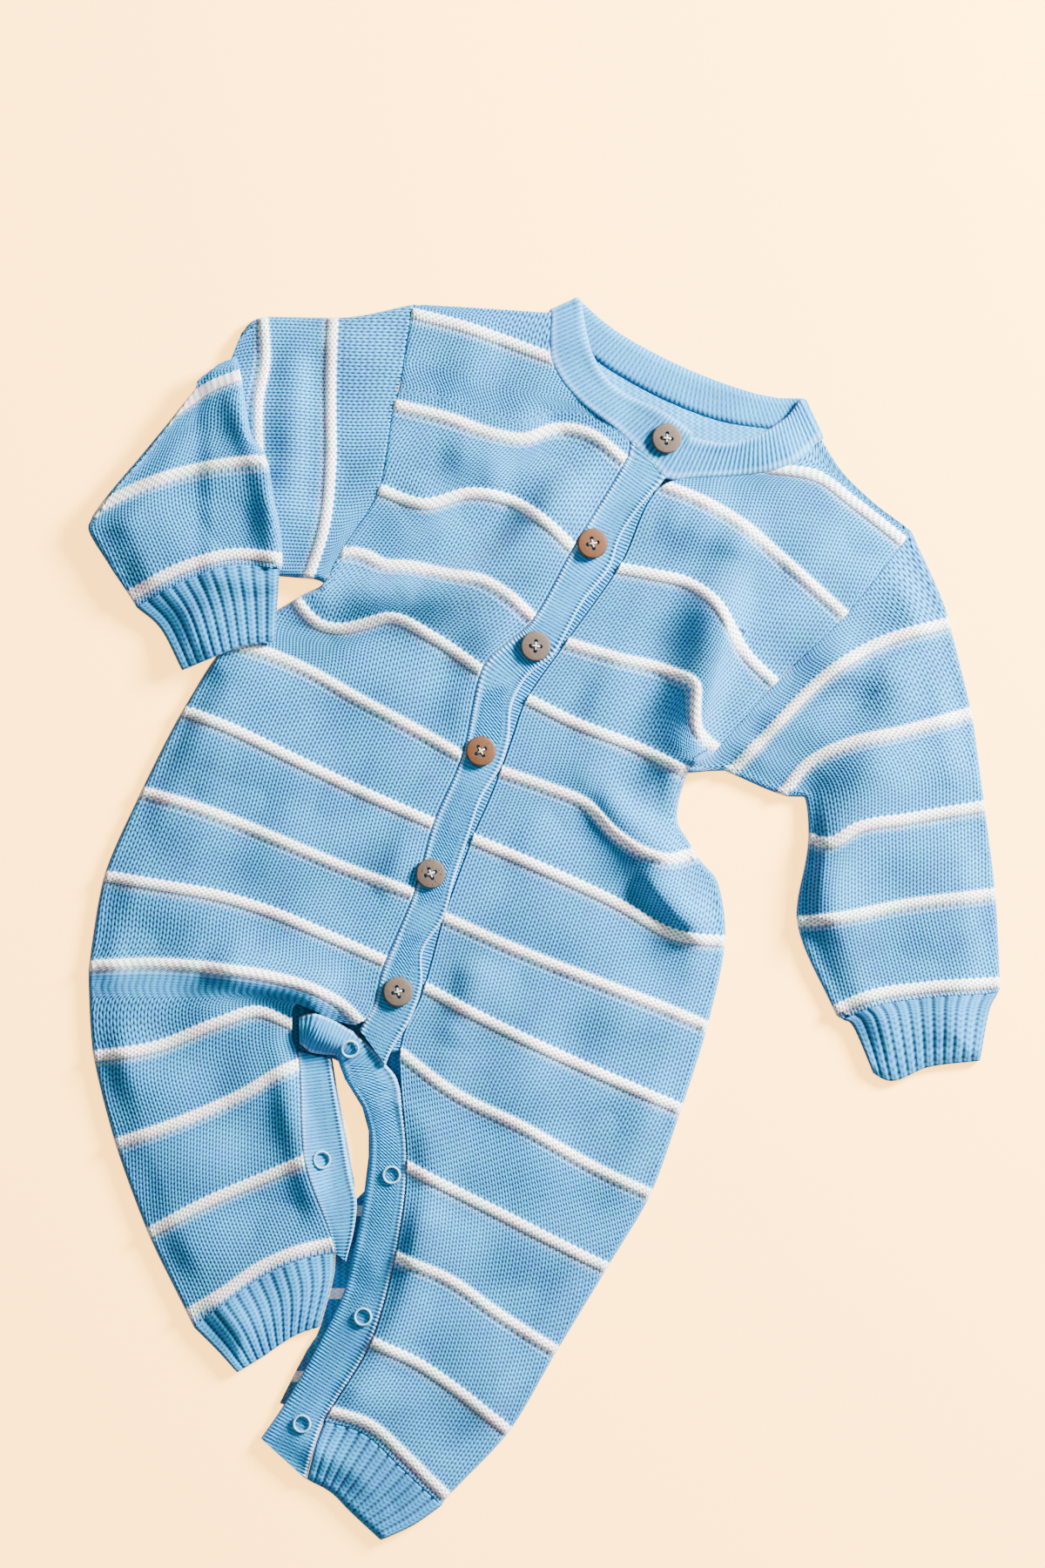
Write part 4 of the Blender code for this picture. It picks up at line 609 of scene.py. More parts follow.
class Wall:
    """One closed mesh of a piece, collected in millimetres, with stitch marks at each point."""

    def __init__(self):
        self.points = np.zeros((0, 3))
        self.stitch = np.zeros((0, 3))
        self.yarn = np.zeros((0, 3))
        self.faces = []

    def add(self, xy, z, stitch=0.0, yarn=0.0):
        """Numbers of new points, in the shape of the arrays."""
        xy = np.asarray(xy, float)
        shape = xy.shape[:-1]
        z = np.broadcast_to(np.asarray(z, float), shape)
        points = np.concatenate([xy, z[..., None]], axis=-1).reshape(-1, 3)
        start = len(self.points)
        self.points = np.vstack([self.points, points])
        self.stitch = np.vstack([self.stitch, np.broadcast_to(stitch, shape + (3,)).reshape(-1, 3)])
        self.yarn = np.vstack([self.yarn, np.broadcast_to(yarn, shape + (3,)).reshape(-1, 3)])
        return np.arange(start, len(self.points)).reshape(shape)

    def grid(self, index, closed=False):
        """Four-sided faces over a grid of point numbers."""
        if closed:
            index = np.hstack([index, index[:, :1]])
        quads = np.stack([index[:-1, :-1], index[:-1, 1:], index[1:, 1:], index[1:, :-1]], axis=-1)
        self.faces += quads.reshape(-1, 4).tolist()

    def zip_edges(self, first, second):
        """Triangles between two edges that may have different numbers of points."""
        first, second = [int(k) for k in first], [int(k) for k in second]
        run_a, run_b = self.run(first), self.run(second)
        i = j = 0
        while i < len(first) - 1 or j < len(second) - 1:
            next_a = run_a[i + 1] if i < len(first) - 1 else 2.0
            next_b = run_b[j + 1] if j < len(second) - 1 else 2.0
            if next_a <= next_b:
                face = (first[i], first[i + 1], second[j])
                i += 1
            else:
                face = (first[i], second[j + 1], second[j])
                j += 1
            if len(set(face)) == 3:
                self.faces.append(face)

    def run(self, index):
        """Share of the way along an edge at each of its points."""
        if len(index) < 2:
            return np.zeros(len(index))
        steps = lengths_along(self.points[np.asarray(index)])
        return steps / max(steps[-1], 1e-9)

    def ragged(self, rows):
        """Faces between rows of stitches whose first and last stitch columns differ."""
        for one, following in zip(rows[:-1], rows[1:]):
            (first_a, core_a, left_a, right_a), (first_b, core_b, left_b, right_b) = one, following
            low = max(first_a, first_b)
            high = min(first_a + len(core_a), first_b + len(core_b)) - 1
            if high > low:
                a = core_a[low - first_a:high - first_a + 1]
                b = core_b[low - first_b:high - first_b + 1]
                self.faces += np.stack([a[:-1], a[1:], b[1:], b[:-1]], axis=-1).tolist()
                tails = [(core_a[:low - first_a + 1], core_b[:low - first_b + 1]),
                         (core_a[high - first_a:], core_b[high - first_b:])]
                self.zip_edges([*left_a[-1:], *tails[0][0]], [*left_b[-1:], *tails[0][1]])
                self.zip_edges([*tails[1][0], *right_a[:1]], [*tails[1][1], *right_b[:1]])
            else:
                self.zip_edges([*left_a[-1:], *core_a, *right_a[:1]], [*left_b[-1:], *core_b, *right_b[:1]])
            for side_a, side_b in ((left_a, left_b), (right_a, right_b)):
                if len(side_a) > 1:
                    self.grid(np.stack([side_a, side_b]))

    def close(self, upper, lower):
        """Faces over and under a strip, joined along all four sides."""
        self.grid(upper)
        self.grid(lower)
        for side in (np.s_[0], np.s_[-1], np.s_[:, 0], np.s_[:, -1]):
            self.zip_edges(upper[side], lower[side])

    def finish(self, name, material, middle=MIDDLE):
        """Object with the mesh in metres, faces pointing out."""
        mesh = bpy.data.meshes.new(name)
        points = (self.points - np.array([middle[0], middle[1], 0.0])) * MM
        mesh.from_pydata(points.tolist(), [], self.faces)
        for title, values in (("stitch", self.stitch), ("yarn", self.yarn)):
            layer = mesh.attributes.new(title, "FLOAT_VECTOR", "POINT")
            layer.data.foreach_set("vector", values.astype(np.float32).ravel())
        bm = bmesh.new()
        bm.from_mesh(mesh)
        bmesh.ops.recalc_face_normals(bm, faces=bm.faces)
        if bm.calc_volume(signed=True) < 0:
            bmesh.ops.reverse_faces(bm, faces=bm.faces)
        bm.to_mesh(mesh)
        bm.free()
        mesh.shade_smooth()
        mesh.materials.append(material)
        piece = bpy.data.objects.new(name, mesh)
        bpy.context.scene.collection.objects.link(piece)
        return piece


def point_marks(shape, first, second=0.0):
    """Marks for the points of a shape: two numbers, and a third that is free."""
    return np.stack([np.broadcast_to(value, shape) for value in (first, second, 0.0)], axis=-1)


def stitch_relief(wale, half, white, size):
    """Height of the knit above its mean: two legs and two hollows to a stitch, bumps on a stripe."""
    legs = -0.5 * np.cos(4 * math.pi * wale)
    holes = -0.5 * np.cos(2 * math.pi * wale) * np.cos(math.pi * half)
    holes *= 0.5 + 0.5 * np.cos(4 * math.pi * wale)
    return size["stitch_depth"] * ((0.55 * legs + 0.8 * holes) * (1 - 0.35 * white))


def stitched_rows(wall, panel, anchor, rims, height, size):
    """Fine upper face of a panel, one point for each quarter stitch and half course.

    The anchor is the share of a row where stitch columns are counted from, rims the side columns as
    lists of (inset, level) pairs for the left and right edge, and height the level of the face.
    """
    step = size["stitch_width"] / 4
    plan = panel.plan
    anchor = np.broadcast_to(anchor, len(plan))
    row_lengths = np.linalg.norm(np.diff(plan, axis=1), axis=2).sum(axis=1)
    spots, owner, columns, spans = [], [], [], []
    for number, line in enumerate(plan):
        run = lengths_along(line)
        zero = anchor[number] * run[-1]
        start = RIM + 0.3 * step if rims[0] else 0.4 * step
        stop = run[-1] - (RIM + 0.3 * step if rims[1] else 0.4 * step)
        first, last = math.ceil((start - zero) / step), math.floor((stop - zero) / step)
        if last < first:
            at = np.array([run[-1] / 2])
            first = int(round((at[0] - zero) / step))
        else:
            at = zero + np.arange(first, last + 1) * step
        spots.append(np.stack([np.interp(at, run, line[:, k]) for k in (0, 1)], axis=1))
        columns.append(first + np.arange(len(at)))
        owner.append(np.full(len(at), number))
        spans.append((first, len(at)))
    xy, owner, columns = np.vstack(spots), np.concatenate(owner), np.concatenate(columns)
    white, raised, below = panel.white[owner], panel.raised[owner], panel.below[owner]
    wale = columns / 4
    level = height(xy) + size["stripe_height"] * raised
    level = level + stitch_relief(wale, owner, white, size)
    index = wall.add(xy, level, point_marks(wale.shape, wale, owner / 2),
                     point_marks(wale.shape, white, below))
    sides = []
    for edge, near, rim in ((0, 1, rims[0]), (-1, -2, rims[1])):
        line = plan[:, edge]
        inward = inward_2d(line, plan[:, near])
        shown = point_marks(len(line), panel.white, panel.below)
        level_at_rim = (rim[-1] if edge == 0 else rim[0])[1] if rim else None
        cells = []
        for inset, z in rim or [(0.0, None)]:
            at = line + np.reshape(inset, (-1, 1)) * inward
            if z is None:
                z = height(line) + size["stripe_height"] * panel.raised
            around = np.maximum(level_at_rim - z, 0.0) if rim else 0.0
            reach = inset - 0.8 * around
            long = row_lengths * anchor if edge == 0 else row_lengths * (1 - anchor)
            run = (reach - long if edge == 0 else long - reach) / size["stitch_width"]
            cells.append(wall.add(at, z, point_marks(len(line), run, np.arange(len(line)) / 2), shown))
        sides.append(np.stack(cells, axis=1))
    rows, start = [], 0
    for number, (first, count) in enumerate(spans):
        rows.append((first, index[start:start + count], sides[0][number], sides[1][number]))
        start += count
    wall.ragged(rows)
    return rows


def coarse_rows(panel):
    """Numbers of the rows that a plain lining has."""
    keep = np.arange(0, len(panel.stops), LINING_STEP)
    return keep if keep[-1] == len(panel.stops) - 1 else np.append(keep, len(panel.stops) - 1)


def row_border(row):
    """Point numbers of one row from its left to its right side."""
    core, left, right = row[1:]
    return [*left, *core, *right]


def close_sheet(wall, rows, lower):
    """Lining under a fine upper face, joined to it all round."""
    wall.grid(lower)
    wall.zip_edges(row_border(rows[0]), lower[0])
    wall.zip_edges(row_border(rows[-1]), lower[-1])
    wall.zip_edges([row[2][0] for row in rows], lower[:, 0])
    wall.zip_edges([row[3][-1] for row in rows], lower[:, -1])


def front_panel(name, panel, lift, wrap_from, level, neck, material, size):
    """Front of torso and leg, its side edge rounded down to the floor round the back panel.

    Neck gives, for row numbers, how many millimetres of stitches the neck edge has cut off.
    """
    cloth = size["cloth"]
    front_low = cloth + SKIN
    wrap = smooth((panel.stops - wrap_from) / 0.4)
    edge = panel.plan[:, 0]
    inward = inward_2d(edge, panel.plan[:, 1])
    low_edge = front_low + lift(edge) + level(edge)
    rim = edge + RIM * inward
    top_rim = front_low + lift(rim) + cloth + level(rim) + size["stripe_height"] * panel.raised
    foot = (1 - wrap) * (low_edge + 0.3)
    rise = top_rim - foot
    round_side = [(0.0, foot), (0.0, foot + 0.3 * rise), (0.1 + 0.2 * wrap, foot + 0.6 * rise),
                  (0.5 + 0.4 * wrap, foot + 0.84 * rise), (1.5 + 0.1 * wrap, foot + 0.97 * rise),
                  (RIM, top_rim)]

    def height(xy):
        return front_low + lift(xy) + cloth * lift.steepness(xy) + level(xy)

    wall = Wall()
    wide = np.linalg.norm(np.diff(panel.plan, axis=1), axis=2).sum(axis=1)
    anchor = 1.0 + np.interp(panel.stops, *zip(*neck)) / wide
    rows = stitched_rows(wall, panel, anchor, (round_side, None), height, size)
    keep = coarse_rows(panel)
    plan = panel.plan[keep][:, 4::4]
    hem = edge + (0.4 + (cloth - 0.4) * wrap)[:, None] * inward
    under = edge + (cloth + 0.1) * inward
    lower = np.hstack([wall.add(hem[keep], ((1 - wrap) * low_edge)[keep])[:, None],
                       wall.add(under[keep], (front_low + lift(under) + level(under))[keep])[:, None],
                       wall.add(plan, front_low + lift(plan) + level(plan))])
    close_sheet(wall, rows, lower)
    return wall.finish(name, material)


def flat_tube(name, panel, base, lift, top, material, size, blind=False):
    """Sleeve pressed flat: a stitched upper wall and a plain lower wall joined by rounded sides."""
    cloth = size["cloth"]
    plan = panel.plan
    count = len(plan)
    sides = []
    for edge, near in ((0, 1), (-1, -2)):
        line = plan[:, edge]
        inward = inward_2d(line, plan[:, near])
        rim = line + RIM * inward
        foot = base(line)
        rise = top(rim) + size["stripe_height"] * panel.raised - foot
        ring = [(0.9, foot), (0.2, foot + 0.1 * rise), (0.0, foot + 0.3 * rise), (0.0, foot + 0.55 * rise),
                (0.3, foot + 0.78 * rise), (1.1, foot + 0.95 * rise), (RIM, foot + rise)]
        sides.append(ring if edge == 0 else ring[::-1])
    wall = Wall()
    rows = stitched_rows(wall, panel, 0.5, sides, top, size)
    shares = np.linspace(0, PATTERN_COLUMNS - 1, 14)[1:-1].round().astype(int)[::-1]
    floor = plan[:, shares]
    shape = floor.shape[:2]
    wales = lengths_along(floor[count // 2]) / size["stitch_width"]
    below = wall.add(floor, base(floor), point_marks(shape, wales, np.arange(count)[:, None] / 2),
                     point_marks(shape, panel.white[:, None], panel.below[:, None]))
    left = np.array([row[2][0] for row in rows])
    right = np.array([row[3][-1] for row in rows])
    wall.grid(np.hstack([right[:, None], below, left[:, None]]))
    ends = [(rows[number], [right[number], *below[number], left[number]]) for number in (0, -1)]
    keep = coarse_rows(panel)
    if blind:
        keep = keep[:-2]
    picks = np.arange(4, PATTERN_COLUMNS - 1, 4)
    inner = []
    for edge, near in ((0, 1), (-1, -2)):
        line = plan[keep][:, edge]
        line = line + (RIM - 0.3) * inward_2d(line, plan[keep][:, near])
        inner.append([wall.add(line, base(line) + cloth),
                      wall.add(line, base(line) + cloth + SKIN + lift(line))])
    middle = plan[keep][:, picks]
    ceiling = wall.add(middle, base(middle) + cloth + SKIN + lift(middle))
    lining = wall.add(middle[:, ::-1], base(middle[:, ::-1]) + cloth)
    upper = np.hstack([inner[0][0][:, None], inner[0][1][:, None], ceiling, inner[1][1][:, None],
                       inner[1][0][:, None]])
    lower = np.hstack([inner[1][0][:, None], lining, inner[0][0][:, None]])
    wall.grid(upper)
    wall.grid(lower)
    for end, (row, under) in zip((0, -1), ends):
        if blind and end == -1:
            wall.zip_edges(row_border(row), under[::-1])
            wall.zip_edges(upper[end], lower[end][::-1])
            continue
        wall.zip_edges(row_border(row), upper[end])
        wall.zip_edges(under, lower[end])
    return wall.finish(name, material)


class Forearm:
    """Levels of the forearm, folded at the elbow over the upper arm and the torso's edge."""

    def __init__(self, torso, lift, size):
        self.torso, self.lift, self.size = torso, lift, size

    def under(self, xy):
        """Level on which the forearm and its cuff lie."""
        flat = np.asarray(xy, float).reshape(-1, 2)
        cloth = self.size["cloth"]
        below = np.maximum(inside_distance(flat, self.torso), inside_distance(flat, np.array(UPPER_ARM)))
        away = np.clip(-np.maximum(below, inside_distance(flat, np.array(ELBOW))), 0, None)
        lift = self.lift(flat)
        beside = cloth * 2 + 2 * SKIN + lift - 4.3 * smooth((away - 4) / 26)
        above = 2 * cloth + SKIN + self.size["stripe_height"] + 2 * SKIN + lift
        cover = smooth((below + 10) / 9)
        return (beside + cover * (above - beside)).reshape(np.asarray(xy).shape[:-1])

    def low(self, xy):
        """Underside: on the floor where the elbow's lower layer is folded in, else on the layer below."""
        flat = np.asarray(xy, float).reshape(-1, 2)
        away = -inside_distance(flat, np.array(ELBOW))
        return (smooth(away / 5) * self.under(flat)).reshape(np.asarray(xy).shape[:-1])

    def top(self, xy):
        """Upper face of the forearm."""
        flat = np.asarray(xy, float).reshape(-1, 2)
        folds = fold_height(flat, FOREARM_FOLDS).reshape(np.asarray(xy).shape[:-1])
        return self.under(xy) + 2 * self.size["cloth"] + SKIN + folds


def forearm_piece(name, panel, forearm, material, size):
    """Forearm as one rounded body with a groove round the elbow between its two layers."""
    plan = panel.plan
    low = forearm.low(plan)
    folded = smooth(1 - low / 3)
    width = ((plan[:, 2] - plan[:, 0]) * inward_2d(plan[:, 0], plan[:, 1])).sum(axis=1)
    tight = np.clip(width / 1.3, 0.1, 1.0)
    sides = []
    for edge, near, levels in ((0, 1, SIDE_LEVELS), (-1, -2, SIDE_LEVELS[::-1])):
        line = plan[:, edge]
        rim = line + (RIM * tight)[:, None] * inward_2d(line, plan[:, near])
        foot = low[:, edge] + (0.0 if edge == 0 else 1.0) * folded[:, edge]
        rise = forearm.top(rim) + size["stripe_height"] * panel.raised - foot
        ring = [(tight * (inset + groove * (folded[:, edge] if edge == 0 else 0)), foot + share * rise)
                for share, inset, groove in levels]
        last = (RIM * tight, foot + rise)
        sides.append(ring + [last] if edge == 0 else [last] + ring)
    wall = Wall()
    rows = stitched_rows(wall, panel, 0.5, sides, forearm.top, size)
    shares = np.linspace(0, PATTERN_COLUMNS - 1, 12)[1:-1].round().astype(int)[::-1]
    floor = plan[:, shares]
    below = wall.add(floor, low[:, shares])
    left = np.array([row[2][0] for row in rows])
    right = np.array([row[3][-1] for row in rows])
    wall.grid(np.hstack([right[:, None], below, left[:, None]]))
    for number in (0, -1):
        wall.zip_edges(row_border(rows[number]), [left[number], *below[number][::-1], right[number]])
    return wall.finish(name, material)


def ribbed_cuff(name, hem, rows, base, lift, material, size):
    """Cuff pressed flat, in broad ribs, hanging from the hem of the piece above."""
    cloth = size["cloth"]
    ribs = int(round(np.linalg.norm(np.subtract(rows[0][-1], rows[0][0])) / size["cuff_rib"]))
    columns = 8 * ribs + 1
    lines = np.array([even_line(seam_line(hem, rows[0], ARM_SEAM), columns)]
                     + [curve(row, columns) for row in rows])
    long = np.linalg.norm(np.diff(lines, axis=0), axis=2).mean(axis=1).sum()
    count = int(round(long / (size["stitch_height"] / 2))) + 1
    plan = hermite(np.arange(3.0), lines, np.linspace(0, 2, count))
    rib = np.arange(columns) / 8 + 0.5
    crest = np.clip(0.5 + 0.5 * np.cos(2 * math.pi * rib), 0, 1)
    bulge = crest ** 0.35 - 0.16 * crest ** 8
    row = np.arange(count)[:, None]
    knots = 0.12 * np.cos(math.pi * row) * np.cos(2 * math.pi * rib)
    taper = 1 - 0.35 * smooth((np.linspace(0, 1, count) - 0.9) / 0.1)[:, None]
    top = base(plan) + taper * (2 * cloth + SKIN + lift(plan) + size["cuff_rib_height"] * (bulge - 0.5)
                                + knots)
    wall = Wall()
    upper = wall.add(plan[:, 2:-2], top[:, 2:-2], point_marks((count, columns - 4), rib[2:-2], row / 2))
    ends = []
    for edge, near, inner in ((0, 1, 2), (-1, -2, -3)):
        line = plan[:, edge]
        inward = inward_2d(line, plan[:, near])
        foot, rise = base(line), top[:, inner] - base(line)
        ends.append([wall.add(line + inset * inward, foot + share * rise,
                              point_marks(count, rib[edge], row[:, 0] / 2))
                     for inset, share in ((0.9, 0.0), (0.2, 0.12), (0.0, 0.35), (0.0, 0.6), (0.3, 0.85))])
    shares = np.arange(4, columns - 4, 4)[::-1]
    floor = wall.add(plan[:, shares], base(plan[:, shares]),
                     point_marks((count, len(shares)), rib[shares], row / 2))
    ring = np.hstack([np.stack(ends[0], axis=1), upper, np.stack(ends[1][::-1], axis=1), floor])
    wall.grid(ring, closed=True)
    keep = np.linspace(0, count - 1, 5).round().astype(int)
    small = plan[keep]
    sides = [small[:, 0] + (RIM - 0.3) * inward_2d(small[:, 0], small[:, 1]),
             small[:, -1] + (RIM - 0.3) * inward_2d(small[:, -1], small[:, -2])]
    picks = np.arange(6, columns - 6, 6)
    middle = small[:, picks]
    thin = taper[keep]
    lining = np.hstack([
        wall.add(sides[0], base(sides[0]) + thin[:, 0] * cloth)[:, None],
        wall.add(sides[0], base(sides[0]) + thin[:, 0] * (cloth + SKIN + lift(sides[0])))[:, None],
        wall.add(middle, base(middle) + thin * (cloth + SKIN + lift(middle))),
        wall.add(sides[1], base(sides[1]) + thin[:, 0] * (cloth + SKIN + lift(sides[1])))[:, None],
        wall.add(sides[1], base(sides[1]) + thin[:, 0] * cloth)[:, None],
        wall.add(middle[:, ::-1], base(middle[:, ::-1]) + thin * cloth)])
    wall.grid(lining, closed=True)
    half = columns - 4 + 10
    part = len(picks) + 4
    for end in (0, -1):
        wall.zip_edges(ring[end][:half], lining[end][:part])
        wall.zip_edges([*ring[end][half - 1:], ring[end][0]], [*lining[end][part - 1:], lining[end][0]])
    return wall.finish(name, material)


BAND_SHARES = [0.0, 0.025, 0.06, 0.1, 0.14, 0.2, 0.3, 0.4, 0.5, 0.6, 0.7, 0.8, 0.86, 0.9, 0.94, 0.975, 1.0]
BAND_STITCHES = 6.0          # courses across a band or the collar
BAND_CROWN = [0.9, 1.4, 1.7, 1.9, 1.75, 1.8, 1.95, 2.0, 2.0, 2.0, 1.95, 1.8, 1.75, 1.9, 1.9, 1.6, 0.9]


def across(line, rows):
    """How far along a line each point of the rows lies, measured square to the line."""
    run = lengths_along(line)
    ahead = np.gradient(line, axis=0)
    ahead /= np.linalg.norm(ahead, axis=1)[:, None]
    travel = np.zeros(rows.shape[:2])
    for place, row in enumerate(rows):
        first = max(0, place - 60)
        near = first + np.linalg.norm(row[:, None] - line[None, first:place + 61], axis=2).argmin(axis=1)
        travel[place] = run[near] + ((row - line[near]) * ahead[near]).sum(axis=1)
    return travel


def band_strip(name, left, right, low, lift, arch, chains, material, size):
    """Band of knitting between two plan lines in fine crosswise ribs.

    A chain is a pale stitched side: its share of the width, its reach and how far along the band it goes.
    """
    middle = (left + right) / 2
    run = lengths_along(middle)
    count = int(round(run[-1] / (size["band_rib"] / 6))) + 1
    at = np.linspace(0, run[-1], count)
    left, right = (hermite(run, line, at, even=True) for line in (left, right))
    arch = np.interp(at, run, arch)
    shares = np.array(BAND_SHARES)
    plan = left[:, None] + shares[None, :, None] * (right - left)[:, None]
    low_grid = low + lift(plan) + arch[:, None] * np.sin(math.pi * shares) ** 0.8
    rib = across((left + right) / 2, plan) / size["band_rib"]
    ribs = 0.24 * np.cos(2 * math.pi * rib) * smooth((shares - 0.02) / 0.08) * smooth((1 - shares) / 0.08)
    chain = np.zeros(plan.shape[:2])
    for side, reach, end in chains:
        until = smooth((end - at) / 6.0 + 0.5)[:, None]
        chain = np.maximum(chain, until * smooth(1.25 - np.abs(shares - side) / reach))
    knots = chain * (0.25 + 0.3 * np.cos(2 * math.pi * rib))
    wall = Wall()
    shape = plan.shape[:2]
    upper = wall.add(plan, low_grid + np.array(BAND_CROWN) + ribs * (1 - chain) + knots,
                     point_marks(shape, rib, shares * BAND_STITCHES), point_marks(shape, 0.0, chain))
    keep = np.linspace(0, count - 1, max(count // 18, 8)).round().astype(int)
    lower = wall.add(plan[keep][:, ::4], low_grid[keep][:, ::4])
    wall.close(upper, lower)
    return wall.finish(name, material)


def neckband_piece(panels, lift, material, size):
    """Collar strip: right half over the button, round the back at the floor, and the left half."""
    right, left = panels
    cloth = size["cloth"]
    front_low, band_low = cloth + SKIN, 2 * (cloth + SKIN)
    seam = np.vstack([offset(right.edge(-1, 0.05, RIGHT_NECK, 9), -ARM_SEAM), NECK_END[1:]])
    free = curve(NECK_RIGHT_EDGE, len(seam))
    layer = front_low + (band_low - front_low) * smooth(np.linspace(-0.4, 1.3, len(seam)))
    sections = [(a, b, low + cloth / 2, 1.0, 0.0, np.zeros(2))
                for a, b, low in reversed(list(zip(seam, free, layer)))]
    turn = front_low / 2
    back_seam = curve(NECK_BACK_SEAM, 12)[::-1]
    back_free = curve(NECK_BACK_EDGE, 12)[::-1]
    left_seam = even_line(np.vstack([offset(left.edge(-1, 0.05, 1.9, 20), ARM_SEAM), [(54.2, 203.0)]]), 14)
    left_free = curve(NECK_LEFT_EDGE, 14)
    for a, b, out in ((seam[0], free[0], np.array([-0.37, 0.93])),
                      (left_seam[0], left_free[0], np.array([0.87, 0.49]))):
        bends = []
        for angle in (30, 60, 90, 120, 150):
            up, sideways = math.cos(math.radians(angle)), math.sin(math.radians(angle))
            away = (0.5 + turn * sideways) * out
            bends.append((a + away, b + away, cloth / 2 + turn * (1 + up), up, sideways, out))
        if out[0] < 0:
            sections += bends
            sections += [(p, q, cloth / 2, -1.0, 0.0, np.zeros(2)) for p, q in zip(back_seam[1:-1],
                                                                                   back_free[1:-1])]
        else:
            sections += bends[::-1]
    sections += [(a, b, front_low + cloth / 2, 1.0, 0.0, np.zeros(2)) for a, b in zip(left_seam, left_free)]
    middles, outward = [], []
    for a, b, height, up, sideways, out in sections:
        plan = a + np.linspace(0, 1, 5)[:, None] * (b - a)
        level = height + lift(plan) * (up > 0.5)
        middles.append(np.concatenate([plan, np.reshape(level, (-1, 1))], axis=1))
        outward.append([sideways * out[0], sideways * out[1], up])
    middles, outward = np.array(middles), np.array(outward)
    run = lengths_along(middles[:, 2])
    count = int(round(run[-1] / (size["collar_rib"] / 4))) + 1
    at = np.linspace(0, run[-1], count)
    fine = hermite(run, middles, at, even=True)
    away = hermite(run, outward, at, even=True)
    away /= np.linalg.norm(away, axis=1)[:, None]
    shares = np.array([0.0, 0.05, 0.12, 0.2, 0.3, 0.4, 0.5, 0.6, 0.7, 0.78, 0.86, 0.93, 1.0])
    crown = np.array([0.5, 0.95, 1.15, 0.95, 1.1, 1.15, 1.2, 1.2, 1.2, 1.35, 1.55, 1.35, 0.5])
    spread = hermite(np.linspace(0, 1, 5), np.moveaxis(fine, 1, 0), shares)
    spread = np.moveaxis(spread, 0, 1)
    rib = (at / size["collar_rib"])[:, None]
    chain = smooth(1.2 - np.abs(shares - 0.1) / 0.07)
    rolled = smooth((shares - 0.88) / 0.08)
    ribs = 0.25 * np.cos(2 * math.pi * rib) * smooth(shares / 0.15) * smooth((1 - shares) / 0.1)
    thick = crown * cloth / 2 + ribs * (1 - 0.4 * chain)
    wall = Wall()
    shape = spread.shape[:2]
    face = spread + thick[..., None] * away[:, None]
    upper = wall.add(face[..., :2], np.maximum(face[..., 2], 0.02),
                     point_marks(shape, rib, shares * BAND_STITCHES),
                     point_marks(shape, 0.0, np.maximum(0.55 * chain, 0.35 * rolled)))
    keep = np.unique(np.searchsorted(at, run).clip(0, count - 1))
    low = (spread - cloth / 2 * (1 - 0.35 * np.abs(away[:, None, :2]).max(axis=-1, keepdims=True))
           * away[:, None])[keep][:, ::3]
    lower = wall.add(low[..., :2], low[..., 2],
                     point_marks(low.shape[:2], rib[keep], shares[::3] * BAND_STITCHES))
    wall.close(upper, lower)
    return wall.finish("neckband_knit", material)


def back_piece(right, left, material, size):
    """Back of torso and legs, a flat wall that lies on the floor inside the fronts' side edges."""
    side_gap = size["cloth"] + SKIN + 1.2
    last_right, last_left = len(RIGHT_ROWS) - 1, len(LEFT_ROWS) - 1
    right_arm = seam_line(right.edge(0, 0, RIGHT_UNDERARM - 0.4, 40), (0, 100), ARM_SEAM)
    right_side = offset(right.edge(0, RIGHT_UNDERARM + 0.3, last_right, 90), -side_gap)
    snap_right, snap_left = np.array(SNAP_RIGHT_EDGE[::-1], float), np.array(SNAP_LEFT_EDGE[:6], float)
    touching = offset(snap_right, -1.2)[1:3]     # below the opening the legs lie side by side
    right_inner = np.vstack([touching, offset(snap_right, 0.7)[3:]])
    cuff_side = np.array([right.lines[-1][-1]] + [row[-1] for row in CUFF_ROWS["cuff_leg_right"]], float)
    spur = hermite(np.arange(3.0), cuff_side, np.linspace(0, 2, 14)) + (0.15, 0.0)
    left_inner = np.vstack([offset(snap_left, 0.7), touching[::-1] + (0.4, 0.0), spur, BACK_SPUR])
    left_side = offset(left.edge(0, last_left, LEFT_UNDERARM + 0.3, 100), -side_gap)
    left_arm = seam_line(left.edge(0, LEFT_UNDERARM - 0.4, 0, 40), (0, 100), ARM_SEAM)
    neck = offset(curve(NECK_BACK_SEAM, 24), -SEAM)[1:-1]
    outline = np.vstack([right_arm, right_side, right.lines[-1][4::4], right_inner, left_inner,
                         left.lines[-1][::-4][:-1], left_side, left_arm, left.lines[0][4:-4:6], neck])
    wall = Wall()
    upper, lower = wall.add(outline, size["cloth"]), wall.add(outline, 0.0)
    wall.faces += [tuple(int(k) for k in upper), tuple(int(k) for k in lower[::-1])]
    wall.grid(np.stack([upper, lower]), closed=True)
    return wall.finish("back_knit", material)


